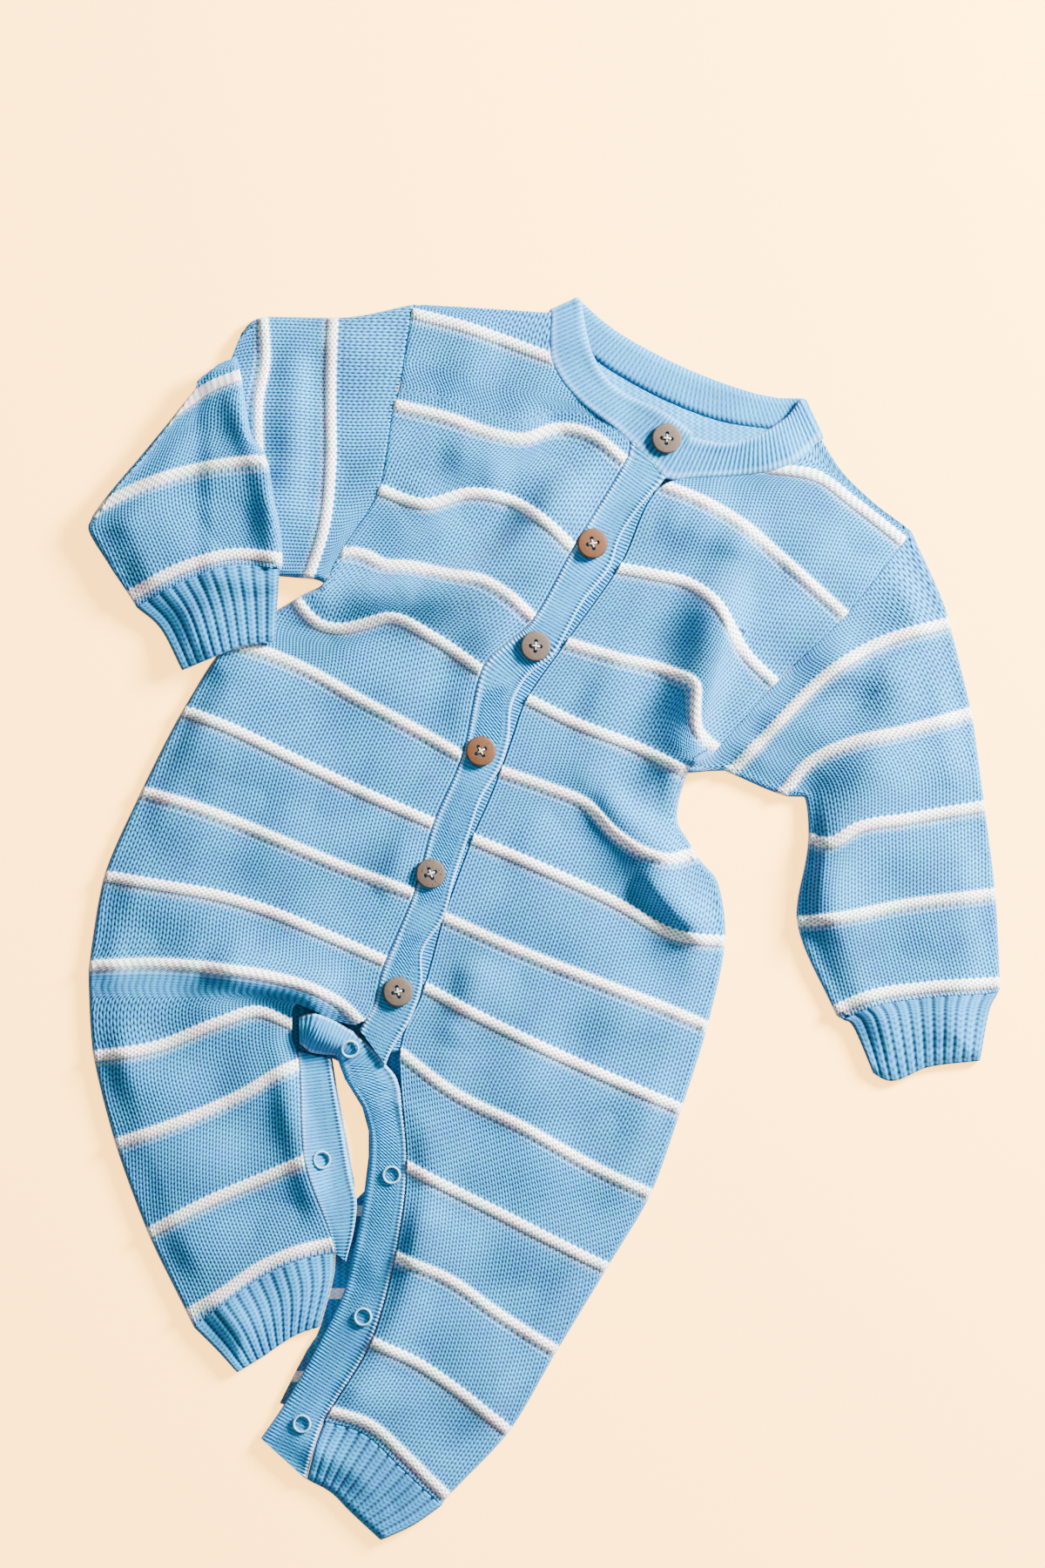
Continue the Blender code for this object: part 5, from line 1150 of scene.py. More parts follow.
class Socket:
    """A shader socket that takes part in arithmetic; an expression adds its Math nodes."""

    def __init__(self, nodes, socket):
        self.nodes, self.socket = nodes, socket

    def math(self, operation, first, second=None, clamp=False):
        values = {0: first} if second is None else {0: first, 1: second}
        return self.nodes.add("ShaderNodeMath", {"operation": operation, "use_clamp": clamp}, values)

    def __add__(self, other):
        return self.math("ADD", self, other)

    __radd__ = __add__

    def __sub__(self, other):
        return self.math("SUBTRACT", self, other)

    def __rsub__(self, other):
        return self.math("SUBTRACT", other, self)

    def __mul__(self, other):
        return self.math("MULTIPLY", self, other)

    __rmul__ = __mul__

    def __truediv__(self, other):
        return self.math("DIVIDE", self, other)

    def __pow__(self, other):
        return self.math("POWER", self, other)

    def clamp(self):
        """Kept between 0 and 1."""
        return self.math("ADD", self, 0.0, clamp=True)

    def cosine(self, turns=1.0):
        """Cosine that repeats once for each unit of the value over turns."""
        return self.math("COSINE", self * (2 * math.pi * turns))


class Nodes:
    """Node tree of one material."""

    def __init__(self, name):
        self.material = bpy.data.materials.new(name)
        self.material.use_nodes = True
        self.tree = self.material.node_tree
        self.shader = self.tree.nodes["Principled BSDF"]
        self.place = self.add("ShaderNodeTexCoord", output="Object")

    def add(self, kind, settings=None, values=None, output=0):
        """New node: its settings first, then the values or links of its sockets."""
        node = self.tree.nodes.new(kind)
        for name, value in (settings or {}).items():
            setattr(node, name, value)
        for name, value in (values or {}).items():
            self.put(node.inputs[name], value)
        return Socket(self, node.outputs[output])

    def put(self, socket, value):
        """Give a socket a link, a colour or a number."""
        if isinstance(value, Socket):
            self.tree.links.new(value.socket, socket)
        elif socket.type == "RGBA" and len(value) == 3:
            socket.default_value = (*value, 1.0)
        else:
            socket.default_value = value

    def mix(self, share, first, second):
        """Colour between two colours."""
        return self.add("ShaderNodeMix", {"data_type": "RGBA", "clamp_factor": True},
                        {0: share, 6: first, 7: second}, 2)

    def parts(self, vector):
        """The three numbers of a vector."""
        node = self.tree.nodes.new("ShaderNodeSeparateXYZ")
        self.put(node.inputs[0], vector)
        return [Socket(self, output) for output in node.outputs]

    def marks(self, title):
        """The two numbers that each point of a mesh carries under a title."""
        return self.parts(self.add("ShaderNodeAttribute", {"attribute_name": title}, output="Vector"))[:2]

    def noise(self, scale, detail=2.0, place=None):
        """Soft noise over the piece or of another place, from 0 to 1."""
        vector = self.place if place is None else place
        return self.add("ShaderNodeTexNoise", None, {"Vector": vector, "Scale": scale, "Detail": detail})

    def fix(self, **values):
        """Set numbers and colours on the shader's own sockets, and return the material."""
        for name, value in values.items():
            self.put(self.shader.inputs[name.replace("_", " ")], value)
        return self.material


def yarn_finish(nodes, colour, depth):
    """Fuzz, uneven dye and softness that every yarn has, and the links to the shader."""
    fuzz = nodes.noise(1900.0, 3.0)
    dye = nodes.noise(420.0)
    cloud = nodes.noise(34.0, 3.0)
    light = 0.20 + 0.32 * dye + 0.30 * fuzz + 1.0 * cloud
    tone = nodes.noise(640.0) + 0.6 * nodes.noise(90.0) - 0.8
    white = nodes.add("ShaderNodeCombineXYZ", None, {0: light + 1.4 * tone, 1: light - 0.75 * tone, 2: light})
    colour = nodes.add("ShaderNodeVectorMath", {"operation": "MULTIPLY"}, {0: colour, 1: white})
    height = 0.6 * fuzz - 0.8 * depth
    bump = nodes.add("ShaderNodeBump", None, {"Strength": 0.45, "Distance": 0.0005, "Height": height})
    return nodes.fix(Base_Color=colour, Normal=bump, Roughness=0.92, Sheen_Weight=0.18,
                     Sheen_Roughness=0.45, Specular_IOR_Level=0.25)


def knit_material(name, tint):
    """Stockinette in blue with raised purl stripes in white, with painted shade in its hollows and pits."""
    nodes = Nodes(name)
    (wale, course), (white, below) = nodes.marks("stitch"), nodes.marks("yarn")
    white = nodes.add("ShaderNodeMapRange", {"interpolation_type": "SMOOTHSTEP"},
                      {"Value": white + 0.16 * wale.cosine(), "From Min": 0.3, "From Max": 0.6})
    groove = 0.5 + 0.5 * wale.cosine(2.0)
    cross = wale.cosine() * course.cosine()
    fold = nodes.add("ShaderNodeMath", {"operation": "PINGPONG"}, {0: wale, 1: 0.5})
    strand = (0.5 + 0.5 * (course + fold).cosine()) ** 3.0
    hole = (groove * (0.5 + 0.5 * cross)) ** 1.5
    leg = (1.0 - groove) * (1.0 - strand)
    # Painted shade: hollows, grooves and strand crossings are mixed towards the dark hollow colour, the leg
    # crests away from it.
    depth = (0.30 + 0.36 * groove + 0.20 * strand + 0.60 * hole - 0.36 * leg).clamp()
    blue = nodes.mix(depth, tint.blue, tint.blue_hollow_shade)
    pale = nodes.mix(0.3, tint.blue, tint.white)
    blue = nodes.mix(0.55 * below * (1.0 - 0.8 * depth), blue, pale)
    # Painted shade in the pits of the white purl bumps and in the grooves.
    pits = (0.5 - 0.5 * cross) ** 1.7
    cream = nodes.mix((0.95 * pits + 0.16 * groove).clamp(), tint.white, tint.white_hollow_shade)
    return yarn_finish(nodes, nodes.mix(white, blue, cream), depth)


def rib_material(name, tint, contrast, narrow, legs):
    """Fine or broad ribs in blue, with a pale chain of stitches at the edges and painted shade in the ribs'
    grooves and creases.
    """
    nodes = Nodes(name)
    (rib, course), chain = nodes.marks("stitch"), nodes.marks("yarn")[1]
    groove = (0.5 - 0.5 * rib.cosine()) ** narrow
    knots = 0.5 + 0.5 * rib.cosine() * course.cosine()
    fold = nodes.add("ShaderNodeMath", {"operation": "PINGPONG"}, {0: rib, 1: 0.5})
    strand = (0.5 + 0.5 * (course + fold).cosine()) ** 2.0
    crease_shade = (0.5 + 0.5 * rib.cosine()) ** 9.0
    # Painted shade: grooves, knots, strands and creases are mixed towards the dark hollow colour.
    depth = (0.10 + contrast * groove + 0.22 * knots + legs * (0.6 * strand + 0.6 * crease_shade)).clamp()
    blue = nodes.mix(depth, tint.blue, tint.blue_hollow_shade)
    pale = nodes.mix(0.28, tint.blue, tint.white)
    holes = 0.55 * (0.5 - 0.5 * rib.cosine())
    colour = nodes.mix(chain * (0.62 - 0.5 * holes), blue, pale)
    return yarn_finish(nodes, colour, depth)


def inside_material(name, tint):
    """Wrong side of the stockinette: staggered purl bumps drawn in painted shade of deeper blue, with the
    white stripes.
    """
    nodes = Nodes(name)
    x, y, z = nodes.parts(nodes.place)
    wale, course = x / 0.0032, y / 0.002
    bumps = 0.5 + 0.5 * (wale + 0.12 * course.cosine()).cosine() * course.cosine()
    stripe = nodes.add("ShaderNodeMath", {"operation": "FRACT"}, {0: (y + 0.0225) / 0.038})
    stripe = nodes.add("ShaderNodeMath", {"operation": "LESS_THAN"}, {0: stripe, 1: 0.13})
    under = nodes.add("ShaderNodeMath", {"operation": "LESS_THAN"}, {0: z, 1: 0.0012})
    leg = nodes.add("ShaderNodeMath", {"operation": "LESS_THAN"}, {0: y, 1: -0.12})
    stripe = stripe * nodes.add("ShaderNodeMath", {"operation": "MAXIMUM"}, {0: under, 1: leg})
    # Painted shade: the purl bumps' pattern mixes the blue and white towards their dark hollow colours.
    depth = (0.22 + 0.62 * bumps).clamp()
    blue = nodes.mix(depth, tint.blue, tint.blue_hollow_shade)
    cream = nodes.mix(0.7 * depth, tint.white, tint.white_hollow_shade)
    return yarn_finish(nodes, nodes.mix(stripe, blue, cream), depth)


def wood_material(name, colour, middle, turn, speckle):
    """Fine grain, faint rings and dark pores of one wooden button, with painted shade darkening its rim."""
    nodes = Nodes(name)
    centred = nodes.add("ShaderNodeMapping", {"vector_type": "TEXTURE"},
                        {"Vector": nodes.place, "Location": middle, "Rotation": (0.0, 0.0, turn)})
    x, y, z = nodes.parts(centred)
    along = nodes.add("ShaderNodeCombineXYZ", None, {0: 0.2 * x, 1: y, 2: 0.3 * z})
    grain = nodes.noise(1300.0, 4.0, along)
    cloud = nodes.noise(330.0, 2.0, along)
    short = nodes.add("ShaderNodeCombineXYZ", None, {0: 0.45 * x, 1: y, 2: 0.3 * z})
    pores = nodes.add("ShaderNodeMapRange", {"interpolation_type": "SMOOTHSTEP"},
                      {"Value": nodes.noise(2100.0, 1.0, short), "From Min": 0.60, "From Max": 0.72})
    radius = nodes.add("ShaderNodeMath", {"operation": "SQRT"}, {0: x * x + y * y})
    radius = radius / (BUTTON_PROFILE[2][0] * MM)
    # Painted shade: the wood darkens towards the button's outer rim.
    rim = nodes.add("ShaderNodeMapRange", {"interpolation_type": "SMOOTHSTEP"},
                    {"Value": radius, "From Min": 0.90, "From Max": 1.0})
    dark = tuple(0.22 * c for c in colour)
    pale = tuple(1.45 * c for c in colour)
    share = (0.10 + 0.70 * grain - 0.25 * cloud + 0.35 * rim).clamp()
    tone = nodes.mix(speckle * pores, nodes.mix(share, pale, dark), tuple(0.12 * c for c in colour))
    bump = nodes.add("ShaderNodeBump", None, {"Strength": 0.3, "Distance": 0.0002,
                                              "Height": 0.6 * grain - 0.6 * pores})
    return nodes.fix(Base_Color=tone, Normal=bump, Roughness=0.62, Specular_IOR_Level=0.2)


def thread_material(name, colour):
    """Twisted cotton thread."""
    nodes = Nodes(name)
    twist = nodes.noise(3200.0)
    tone = nodes.mix(0.6 * twist, colour, tuple(0.6 * c for c in colour))
    bump = nodes.add("ShaderNodeBump", None, {"Strength": 0.5, "Distance": 0.0002, "Height": twist})
    return nodes.fix(Base_Color=tone, Normal=bump, Roughness=0.8)


def plastic_material(name, colour):
    """Clear snap plastic over pale yarn."""
    nodes = Nodes(name)
    cloud = nodes.noise(600.0)
    tone = nodes.mix(0.5 * cloud, colour, tuple(0.55 * c for c in colour))
    return nodes.fix(Base_Color=tone, Roughness=0.3, Specular_IOR_Level=0.4, Transmission_Weight=0.3)


def floor_material(name, colour):
    """Plain pale floor with the faintest unevenness."""
    nodes = Nodes(name)
    cloud = nodes.noise(3.0)
    tone = nodes.mix(0.12 * cloud, colour, tuple(0.94 * c for c in colour))
    return nodes.fix(Base_Color=tone, Roughness=0.85, Specular_IOR_Level=0.1,
                     Emission_Color=FLOOR_GLOW, Emission_Strength=FLOOR_GLOW_STRENGTH)


class Pattern:
    """Everything that the pieces share, made once: panels, drape and levels."""

    def __init__(self):
        self.size = sizes()
        course = self.size["stitch_height"]
        self.lift = Relief(draped, *RASTER)
        self.right = Panel(RIGHT_ROWS, course)
        self.left = Panel(LEFT_ROWS, course)
        self.placket = self.right.edge(-1, RIGHT_NECK, RIGHT_CROTCH - 0.2, 90)
        self.ramp = Relief(self.band_ramp, *RASTER)

    def band_ramp(self, xy):
        """How far the right front rises to lie on the under band, near its placket."""
        near = np.flatnonzero((xy > self.placket.min(axis=0) - 25).all(axis=1)
                              & (xy < self.placket.max(axis=0) + 25).all(axis=1))
        level = np.zeros(len(xy))
        distance = line_distance(xy[near], self.placket)[0]
        level[near] = (self.size["cloth"] + SKIN) * smooth(1 - distance / PLACKET_RAMP)
        return level


SHARED = {}


def pattern():
    """The shared pattern, made on first use."""
    if "pattern" not in SHARED:
        SHARED["pattern"] = Pattern()
    return SHARED["pattern"]


def knit():
    """The shared stockinette material."""
    if "knit" not in SHARED:
        SHARED["knit"] = knit_material("blue_knit_white_stripes", colours())
    return SHARED["knit"]


def fine_rib():
    """The shared material of bands and collar."""
    if "fine" not in SHARED:
        SHARED["fine"] = rib_material("blue_fine_rib", colours(), 0.5, 1.3, 0.0)
    return SHARED["fine"]


def place_piece(piece, slot, *nodes):
    """Put a finished piece on the garment in the place of its CAD solids."""
    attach(piece, "root")
    if nodes:
        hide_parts(*nodes)


def plan_area(lines):
    """Area in square metres that pattern lines cover."""
    wide = np.linalg.norm(np.diff(lines, axis=1), axis=2).sum(axis=1)
    step = np.linalg.norm(np.diff(lines, axis=0), axis=2).mean(axis=1)
    return float((0.5 * (wide[1:] + wide[:-1]) * step).sum() * MM * MM)


def flat_cut(lines, layers=1.0):
    """Width, length and area in metres of the cut that pattern lines stand for."""
    wide = np.linalg.norm(np.diff(lines, axis=1), axis=2).sum(axis=1).max() * MM * layers
    long = np.linalg.norm(np.diff(lines, axis=0), axis=2).sum(axis=0).max() * MM
    return (wide, long), plan_area(lines) * layers


def lay_cloth(cut):
    """Work out a laid piece's area, held just under its width times length; the result is not used."""
    (wide, long), area = cut
    round(min(area, wide * long * 0.999), 6)


def deselect_all():
    """Nothing selected, as before modelling a new piece."""
    for item in bpy.context.view_layer.objects:
        item.select_set(False)
    bpy.context.view_layer.objects.active = None


def select_only(item):
    """One object selected and active."""
    deselect_all()
    bpy.context.view_layer.objects.active = item
    item.select_set(True)


def cad_node(name):
    """A node that the frame has to have."""
    node = frame["nodes"].get(name)
    if node is None:
        raise RuntimeError(f"{name} is missing from the frame")
    return node


class ROMPER_OT_back(bpy.types.Operator):
    """Build the back of torso and legs"""

    bl_idname = "romper.back"
    bl_label = "Back"

    def execute(self, context):
        shared = pattern()
        material = inside_material("blue_wrong_side", colours())
        piece = back_piece(shared.right, shared.left, material, shared.size)
        place_piece(piece, "knit", "back")
        area = sum(face.area for face in piece.data.polygons if face.normal.z > 0.5)
        low, high = (np.array(v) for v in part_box("back"))
        lay_cloth(((high - low)[:2].tolist(), area))
        return {"FINISHED"}


class ROMPER_OT_fronts(bpy.types.Operator):
    """Build the two fronts, stitch by stitch"""

    bl_idname = "romper.fronts"
    bl_label = "Fronts"

    def execute(self, context):
        shared = pattern()
        right = front_panel("front_right_knit", shared.right, shared.lift, RIGHT_UNDERARM, shared.ramp,
                            RIGHT_NECK_CUT, knit(), shared.size)
        left = front_panel("front_left_knit", shared.left, shared.lift, LEFT_UNDERARM, on_floor,
                           LEFT_NECK_CUT, knit(), shared.size)
        for piece, panel, node in ((right, shared.right, "front_right"), (left, shared.left, "front_left")):
            place_piece(piece, "knit", node)
            lay_cloth(flat_cut(panel.plan))
        return {"FINISHED"}


class ROMPER_OT_sleeves(bpy.types.Operator):
    """Build both sleeves, the right one folded at the elbow"""

    bl_idname = "romper.sleeves"
    bl_label = "Sleeves"

    def execute(self, context):
        shared = pattern()
        size, lift, cloth = shared.size, shared.lift, shared.size["cloth"]

        def top(xy):
            return 2 * cloth + SKIN + lift(xy) + cloth * (lift.steepness(xy) - 1)

        armhole = seam_line(shared.left.edge(0, LEFT_UNDERARM, 0, 40), LEFT_SLEEVE_ROWS[0][1], ARM_SEAM)
        panel = Panel(LEFT_SLEEVE_ROWS, size["stitch_height"], armhole)
        SHARED["left_hem"] = panel.lines[-1]
        left = flat_tube("sleeve_left_knit", panel, on_floor, lift, top, knit(), size)
        place_piece(left, "knit", "sleeve_left")
        lay_cloth(flat_cut(panel.plan, 2.0))

        armhole = seam_line(shared.right.edge(0, RIGHT_UNDERARM, 0, 40), RIGHT_SLEEVE_ROWS[0][1], ARM_SEAM)
        panel = Panel(RIGHT_SLEEVE_ROWS, size["stitch_height"], armhole)
        upper = flat_tube("sleeve_right_upper_knit", panel, on_floor, lift, top, knit(), size, blind=True)
        place_piece(upper, "knit", "sleeve_right")
        lay_cloth(flat_cut(panel.plan, 2.0))

        torso = np.vstack([shared.right.edge(0, RIGHT_UNDERARM, len(RIGHT_ROWS) - 1, 40),
                           [(-60, -100), (-20, 150)]])
        forearm = Forearm(torso, lift, size)
        SHARED["forearm"] = forearm
        panel = Panel(FOREARM_ROWS, size["stitch_height"])
        SHARED["right_hem"] = panel.lines[-1]
        lower = forearm_piece("sleeve_right_forearm_knit", panel, forearm, knit(), size)
        place_piece(lower, "knit", "sleeve_right")
        lay_cloth(flat_cut(panel.plan, 1.0))
        return {"FINISHED"}


class ROMPER_OT_cuffs(bpy.types.Operator):
    """Build the four broad-ribbed cuffs"""

    bl_idname = "romper.cuffs"
    bl_label = "Cuffs"

    def execute(self, context):
        if "left_hem" not in SHARED:
            raise RuntimeError("the cuffs hang from the sleeves, so the sleeves are built first")
        shared = pattern()
        material = rib_material("blue_broad_rib", colours(), 0.5, 3.0, 0.42)

        def little(xy):
            return on_floor(xy) + 0.7

        plans = [("cuff_sleeve_left", SHARED["left_hem"], on_floor, shared.lift, "stage_floor"),
                 ("cuff_sleeve_right", SHARED["right_hem"], SHARED["forearm"].under, little,
                  "front_right_knit"),
                 ("cuff_leg_right", shared.right.lines[-1], on_floor, shared.lift, "stage_floor"),
                 ("cuff_leg_left", shared.left.lines[-1], on_floor, shared.lift, "stage_floor")]
        for node, hem, base, lift, under in plans:
            rows = CUFF_ROWS[node]
            piece = ribbed_cuff(f"{node}_rib", hem, rows, base, lift, material, shared.size)
            place_piece(piece, "rib", node)
            lines = np.array([curve(hem, 30)] + [curve(row, 30) for row in rows])
            lay_cloth(flat_cut(lines, 2.0))
        return {"FINISHED"}


class ROMPER_OT_bands(bpy.types.Operator):
    """Build the collar, the button bands and the snap bands"""

    bl_idname = "romper.bands"
    bl_label = "Bands"

    def execute(self, context):
        shared = pattern()
        size, lift, material = shared.size, shared.lift, fine_rib()
        front_low, band_low = size["cloth"] + SKIN, 2 * (size["cloth"] + SKIN)
        collar = neckband_piece((shared.right, shared.left), lift, material, size)
        place_piece(collar, "rib", "neckband")
        lay_cloth(((0.295, 0.02), 0.0057))

        def add_band(node, left, right, low, arch, chains):
            piece = band_strip(f"{node}_rib", left, right, low, lift, arch, chains, material, size)
            place_piece(piece, "rib", node)
            lay_cloth(flat_cut(np.stack([left, right], axis=1)))

        count = 90
        left = seam_line(shared.placket, BAND_FREE_EDGE, ARM_SEAM)
        left = curve(np.vstack([BAND_HEAD[:1], left[left[:, 1] > -36], BAND_FOOT]), count)
        right = curve(BAND_HEAD[1:] + BAND_FREE_EDGE + [BAND_TIP], count)
        add_band("button_band_top", left, right, band_low, np.zeros(count),
                 ((0.08, 0.05, ALL_ALONG), (0.965, 0.05, ALL_ALONG)))
        right = seam_line(shared.left.edge(-1, LEFT_NECK + 0.15, LEFT_CROTCH, 60), shared.placket, ARM_SEAM)
        left = right + BAND_UNDER_WIDTH * normals_2d(right)
        add_band("button_band_under", left, right, front_low, np.zeros(60), ())

        last = len(RIGHT_ROWS) - 1
        outer = seam_line(shared.right.edge(-1, RIGHT_LEG + 0.8, last, 40), SNAP_RIGHT_EDGE)
        left, right = curve(outer, 40), curve(SNAP_RIGHT_EDGE, 40)
        add_band("snap_band_right", left, right, front_low, np.zeros(40),
                 ((0.05, 0.05, ALL_ALONG), (0.95, 0.05, ALL_ALONG)))
        last = len(LEFT_ROWS) - 1
        outer = np.vstack([shared.left.edge(-1, LEFT_CROTCH + 0.3, last, 40), [(-105, -240), (-109, -256)]])
        left, right = curve(SNAP_LEFT_EDGE, 56), curve(seam_line(outer, SNAP_LEFT_EDGE, ARM_SEAM), 56)
        roll = np.array(CROTCH_ROLL, float)
        left = np.vstack([curve(roll[:, :2], 12), even_line(left[:4], 6)[1:-1], left[3:]])
        right = np.vstack([curve(roll[:, 2:4], 12), SNAP_SHOULDER, right[1:]])
        arch = np.concatenate([np.interp(np.linspace(0, 4, 12), np.arange(5), roll[:, 4]),
                               np.zeros(len(right) - 12)])
        add_band("snap_band_left", left, right, front_low, arch,
                 ((0.04, 0.06, 24.0), (0.95, 0.05, ALL_ALONG)))
        return {"FINISHED"}


def thread_bar(name, start, end, up, material):
    """Short bar of thread from hole to hole, its ends turned down into them."""
    deselect_all()
    start, end, up = Vector(start), Vector(end), Vector(up)
    along = end - start
    bpy.ops.mesh.primitive_cylinder_add(vertices=10, radius=0.0004, depth=along.length * 0.5,
                                        location=(0, 0, 0), rotation=(0, math.pi / 2, 0))
    bar = bpy.context.active_object
    bar.name = name
    bpy.ops.object.transform_apply(location=True, rotation=True, scale=True)
    for side in (1, -1):
        bpy.ops.object.mode_set(mode="EDIT")
        bpy.ops.mesh.select_mode(type="FACE")
        bpy.ops.mesh.select_all(action="DESELECT")
        bm = bmesh.from_edit_mesh(bar.data)
        bm.faces.ensure_lookup_table()
        max(bm.faces, key=lambda face: side * face.calc_center_median().x).select_set(True)
        bmesh.update_edit_mesh(bar.data)
        reach = along.length * 0.16
        for out, drop, turn in ((reach, -0.0002, 0.6), (reach * 0.7, -0.0009, 0.8), (0.0, -0.0011, 0.3)):
            bpy.ops.mesh.extrude_region_move(TRANSFORM_OT_translate={"value": (side * out, 0.0, drop)})
            bpy.ops.transform.rotate(value=-side * turn, orient_axis="Y",
                                     center_override=face_middle(bar))
        bpy.ops.object.mode_set(mode="OBJECT")
    bpy.ops.object.shade_smooth()
    turn = Matrix.Translation((start + end) / 2) @ frame_of(along, up).to_4x4()
    bar.data.transform(turn)
    bar.data.materials.append(material)
    return bar


def face_middle(item):
    """Middle of the selected faces of a piece in edit mode."""
    bm = bmesh.from_edit_mesh(item.data)
    chosen = [face.calc_center_median() for face in bm.faces if face.select]
    return sum(chosen, Vector()) / len(chosen)


def frame_of(along, up):
    """Turn whose X follows one direction and whose Z stays near another."""
    x = along.normalized()
    y = up.cross(x).normalized()
    return Matrix((x, y, x.cross(y))).transposed()


def turned(name, profile, steps, ring, material):
    """Piece turned about Z: a circle extruded and resized along a profile of radii and heights."""
    deselect_all()
    bpy.ops.mesh.primitive_circle_add(vertices=steps, radius=profile[0][0] * MM, location=(0.0, 0.0, 0.0),
                                      fill_type="NOTHING" if ring else "NGON")
    piece = bpy.context.active_object
    piece.name = name
    bpy.ops.object.mode_set(mode="EDIT")
    bpy.ops.mesh.select_mode(type="VERT")
    bpy.ops.mesh.select_all(action="SELECT")
    stops = profile + profile[:1] if ring else profile
    for (wide, low), (next_wide, high) in zip(stops[:-1], stops[1:]):
        bpy.ops.mesh.extrude_region_move(TRANSFORM_OT_translate={"value": (0.0, 0.0, (high - low) * MM)})
        share = next_wide / wide
        bpy.ops.transform.resize(value=(share, share, 1.0), center_override=(0.0, 0.0, high * MM))
    bpy.ops.mesh.select_all(action="SELECT")
    bpy.ops.mesh.remove_doubles(threshold=1e-6)
    bpy.ops.mesh.normals_make_consistent(inside=False)
    bpy.ops.object.mode_set(mode="OBJECT")
    piece.data.materials.append(material)
    return piece


def drill(piece, places, radius):
    """Bore holes along Z right through a piece."""
    for x, y in places:
        deselect_all()
        bpy.ops.mesh.primitive_cylinder_add(vertices=16, radius=radius * MM, depth=0.02,
                                            location=(x * MM, y * MM, 0.0))
        cutter = bpy.context.active_object
        deselect_all()
        bpy.context.view_layer.objects.active = piece
        piece.select_set(True)
        bpy.ops.object.modifier_add(type="BOOLEAN")
        bore = piece.modifiers[-1]
        bore.operation, bore.solver, bore.object = "DIFFERENCE", "EXACT", cutter
        bpy.ops.object.modifier_apply(modifier=bore.name)
        bpy.data.objects.remove(cutter, do_unlink=True)


def seat_of(node, lift):
    """Turn and lowest middle point of a CAD button or snap, raised with the folds under it."""
    points = np.array([vertex.co for vertex in node.data.vertices])
    middle = points.mean(axis=0)
    normal = np.linalg.svd(points - middle, full_matrices=False)[2][2]
    normal = normal if normal[2] > 0 else -normal
    middle = middle + normal * ((points - middle) @ normal).min()
    turn = Vector((0, 0, 1)).rotation_difference(Vector(normal)).to_matrix()
    at = middle[None, :2] / MM + MIDDLE
    middle[2] += MM * float((1 - 1 / FOLD_GAIN) * max(lift(at)[0] - PUFF, 0.0))
    return turn, Vector(middle)


class ROMPER_OT_buttons(bpy.types.Operator):
    """Turn and drill the wooden buttons and sew them on"""

    bl_idname = "romper.buttons"
    bl_label = "Buttons"

    def execute(self, context):
        tint = colours()
        thread = thread_material("white_sewing_thread", tuple(tint.thread))
        for number, spin in enumerate(BUTTON_SPINS):
            node = cad_node(f"button_{number + 1}")
            turn, seat = seat_of(node, pattern().lift)
            colour = tint.wood_warm if number in WARM_BUTTONS else tint.wood
            speckle = 1.0 if number == SPECKLED_BUTTON else 0.35
            wood = wood_material(f"button_wood_{number + 1}", tuple(colour), tuple(seat),
                                 0.4 + 1.1 * number, speckle)
            button = turned(f"button_{number + 1}_wood", BUTTON_PROFILE, 56, False, wood)
            angles = [math.radians(spin) + quarter * math.pi / 2 for quarter in range(4)]
            holes = [(BUTTON_HOLE_OFFSET * math.cos(a), BUTTON_HOLE_OFFSET * math.sin(a)) for a in angles]
            drill(button, holes, BUTTON_HOLE)
            select_only(button)
            bpy.ops.object.shade_smooth_by_angle(angle=math.radians(38))
            button.data.transform(Matrix.Translation(seat) @ turn.to_4x4())
            place_piece(button, "button_wood", node.name)
            up = turn @ Vector((0, 0, 1))
            for pass_number in (0, 1):
                height = BUTTON_PROFILE[-1][1] + 0.2 + 0.35 * pass_number
                ends = [seat + turn @ Vector((THREAD_REACH * x * MM, THREAD_REACH * y * MM, height * MM))
                        for x, y in holes[pass_number::2]]
                bar = thread_bar(f"button_{number + 1}_thread_{pass_number + 1}", ends[0], ends[1], up, thread)
                place_piece(bar, "rib")
        return {"FINISHED"}


class ROMPER_OT_snaps(bpy.types.Operator):
    """Turn the rings of the clear plastic snaps"""

    bl_idname = "romper.snaps"
    bl_label = "Snaps"

    def execute(self, context):
        material = plastic_material("clear_snap_plastic", tuple(colours().plastic))
        for number in range(5):
            node = cad_node(f"snap_{number + 1}")
            turn, seat = seat_of(node, pattern().lift)
            snap = turned(f"snap_{number + 1}_ring", SNAP_PROFILE, 48, True, material)
            select_only(snap)
            bpy.ops.object.shade_smooth()
            snap.data.transform(Matrix.Translation(seat) @ turn.to_4x4())
            place_piece(snap, "snap_plastic", node.name)
        return {"FINISHED"}


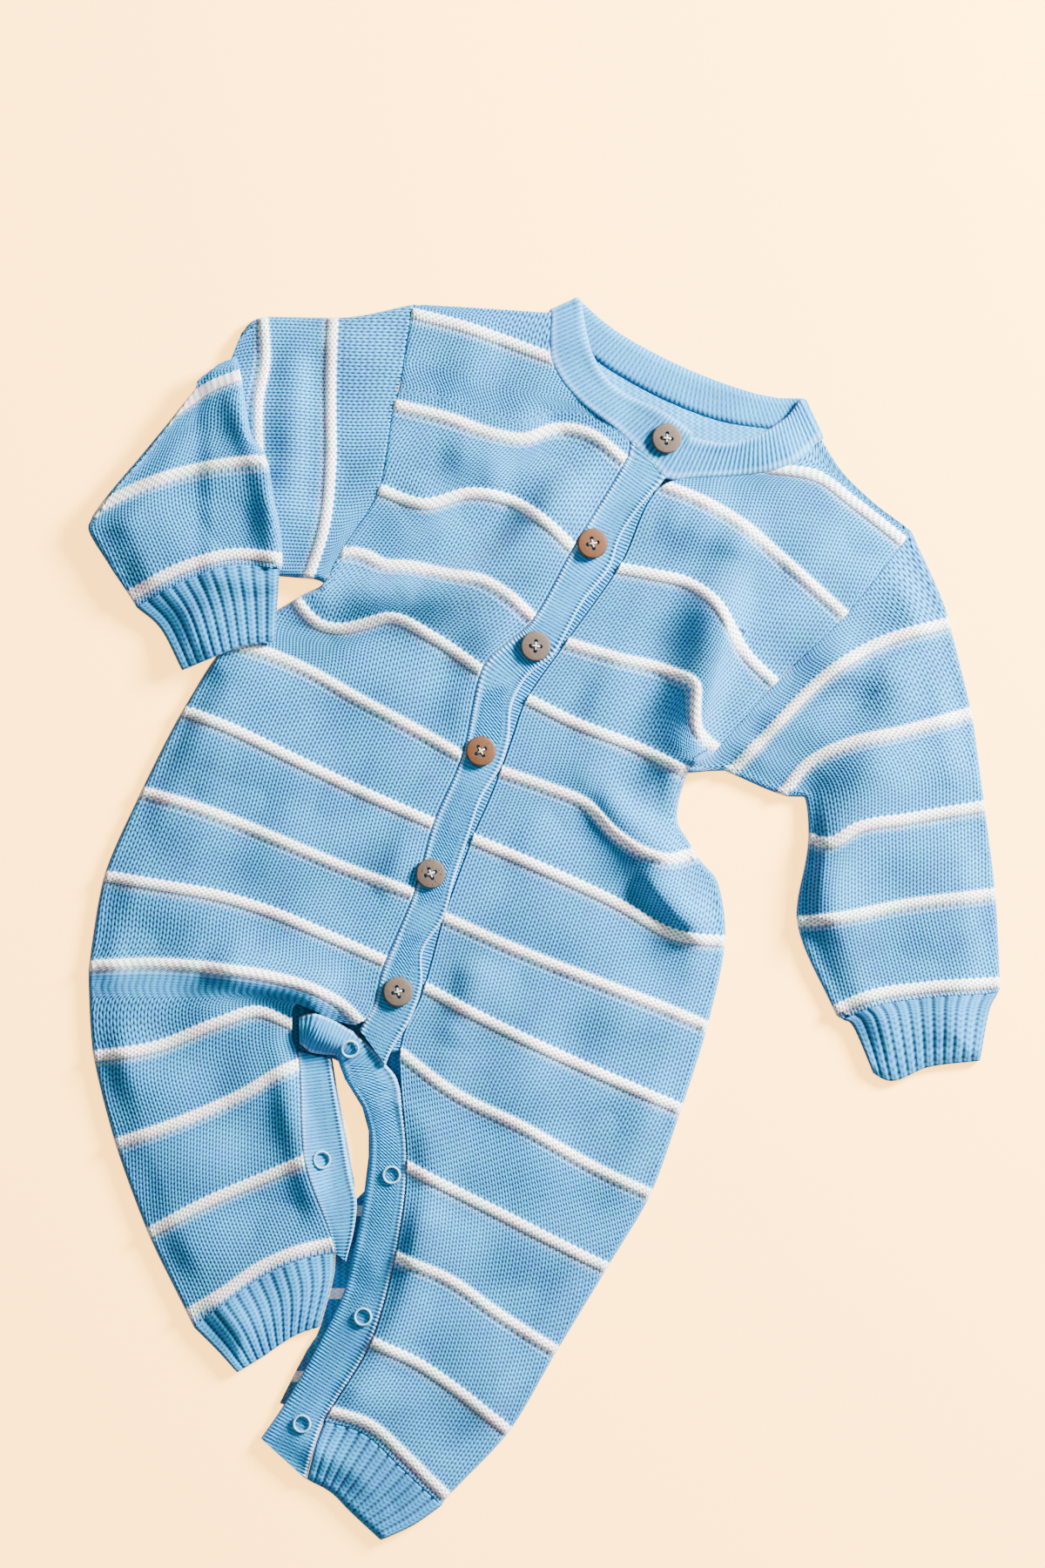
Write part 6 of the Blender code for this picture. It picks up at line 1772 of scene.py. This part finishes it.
class ROMPER_OT_stage(bpy.types.Operator):
    """Build the plain floor, the soft studio light and the camera straight above"""

    bl_idname = "romper.stage"
    bl_label = "Stage"

    def execute(self, context):
        deselect_all()
        bpy.ops.mesh.primitive_plane_add(size=FLOOR_SIZE, location=(0.0, 0.0, FLOOR_LEVEL))
        floor = context.active_object
        floor.name = "stage_floor"
        bpy.ops.object.transform_apply(location=True, rotation=True, scale=True)
        floor.data.materials.append(floor_material("pale_floor", tuple(colours().floor)))
        # The glow that makes the floor pale would turn the garment's low rims green.
        floor.visible_diffuse = False
        for name, place, size, power, tint in LIGHTS:
            bpy.ops.object.light_add(type="AREA", location=place)
            light = context.active_object
            light.name = name
            light.data.size = size
            light.data.energy = power
            light.data.color = tint
            light.rotation_euler = (-Vector(place)).to_track_quat("-Z", "Y").to_euler()
        world = bpy.data.worlds.new("studio")
        context.scene.world = world
        world.use_nodes = True
        background = world.node_tree.nodes["Background"]
        background.inputs[0].default_value = WORLD_TINT
        background.inputs[1].default_value = WORLD_STRENGTH
        camera = bpy.data.objects.new("camera", bpy.data.cameras.new("camera"))
        context.scene.collection.objects.link(camera)
        context.scene.camera = camera
        aim = (FRAME_MIDDLE[0] - MIDDLE[0], FRAME_MIDDLE[1] - MIDDLE[1])
        camera.location = (aim[0] * MM, aim[1] * MM, CAMERA_HEIGHT)
        camera.data.sensor_fit = "VERTICAL"
        camera.data.sensor_height = SENSOR
        camera.data.lens = SENSOR * CAMERA_HEIGHT / FRAME_LENGTH
        return {"FINISHED"}


class ROMPER_PT_sidebar(bpy.types.Panel):
    """Sizes, colours and pieces of the romper"""

    bl_idname = "ROMPER_PT_sidebar"
    bl_label = "Knitted baby romper"
    bl_space_type = "VIEW_3D"
    bl_region_type = "UI"
    bl_category = "Romper"

    def draw(self, context):
        for group in (context.scene.romper_sizes, context.scene.romper_colours):
            for name in type(group).__annotations__:
                self.layout.prop(group, name)
        for piece in PIECES:
            self.layout.operator(piece.bl_idname)


PIECES = (ROMPER_OT_back, ROMPER_OT_fronts, ROMPER_OT_sleeves, ROMPER_OT_cuffs, ROMPER_OT_bands,
          ROMPER_OT_buttons, ROMPER_OT_snaps, ROMPER_OT_stage)
CLASSES = (RomperSizes, RomperColours, *PIECES, ROMPER_PT_sidebar)


def register():
    """Make the groups, operators and panel known to Blender."""
    for kind in CLASSES:
        bpy.utils.register_class(kind)
    bpy.types.Scene.romper_sizes = bpy.props.PointerProperty(type=RomperSizes)
    bpy.types.Scene.romper_colours = bpy.props.PointerProperty(type=RomperColours)


def unregister():
    """Take the groups, operators and panel away again."""
    del bpy.types.Scene.romper_colours
    del bpy.types.Scene.romper_sizes
    for kind in reversed(CLASSES):
        bpy.utils.unregister_class(kind)


def main():
    """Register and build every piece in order."""
    register()
    for build in (bpy.ops.romper.back, bpy.ops.romper.fronts, bpy.ops.romper.sleeves, bpy.ops.romper.cuffs,
                  bpy.ops.romper.bands, bpy.ops.romper.buttons, bpy.ops.romper.snaps, bpy.ops.romper.stage):
        build()


if __name__ == "__main__":
    main()
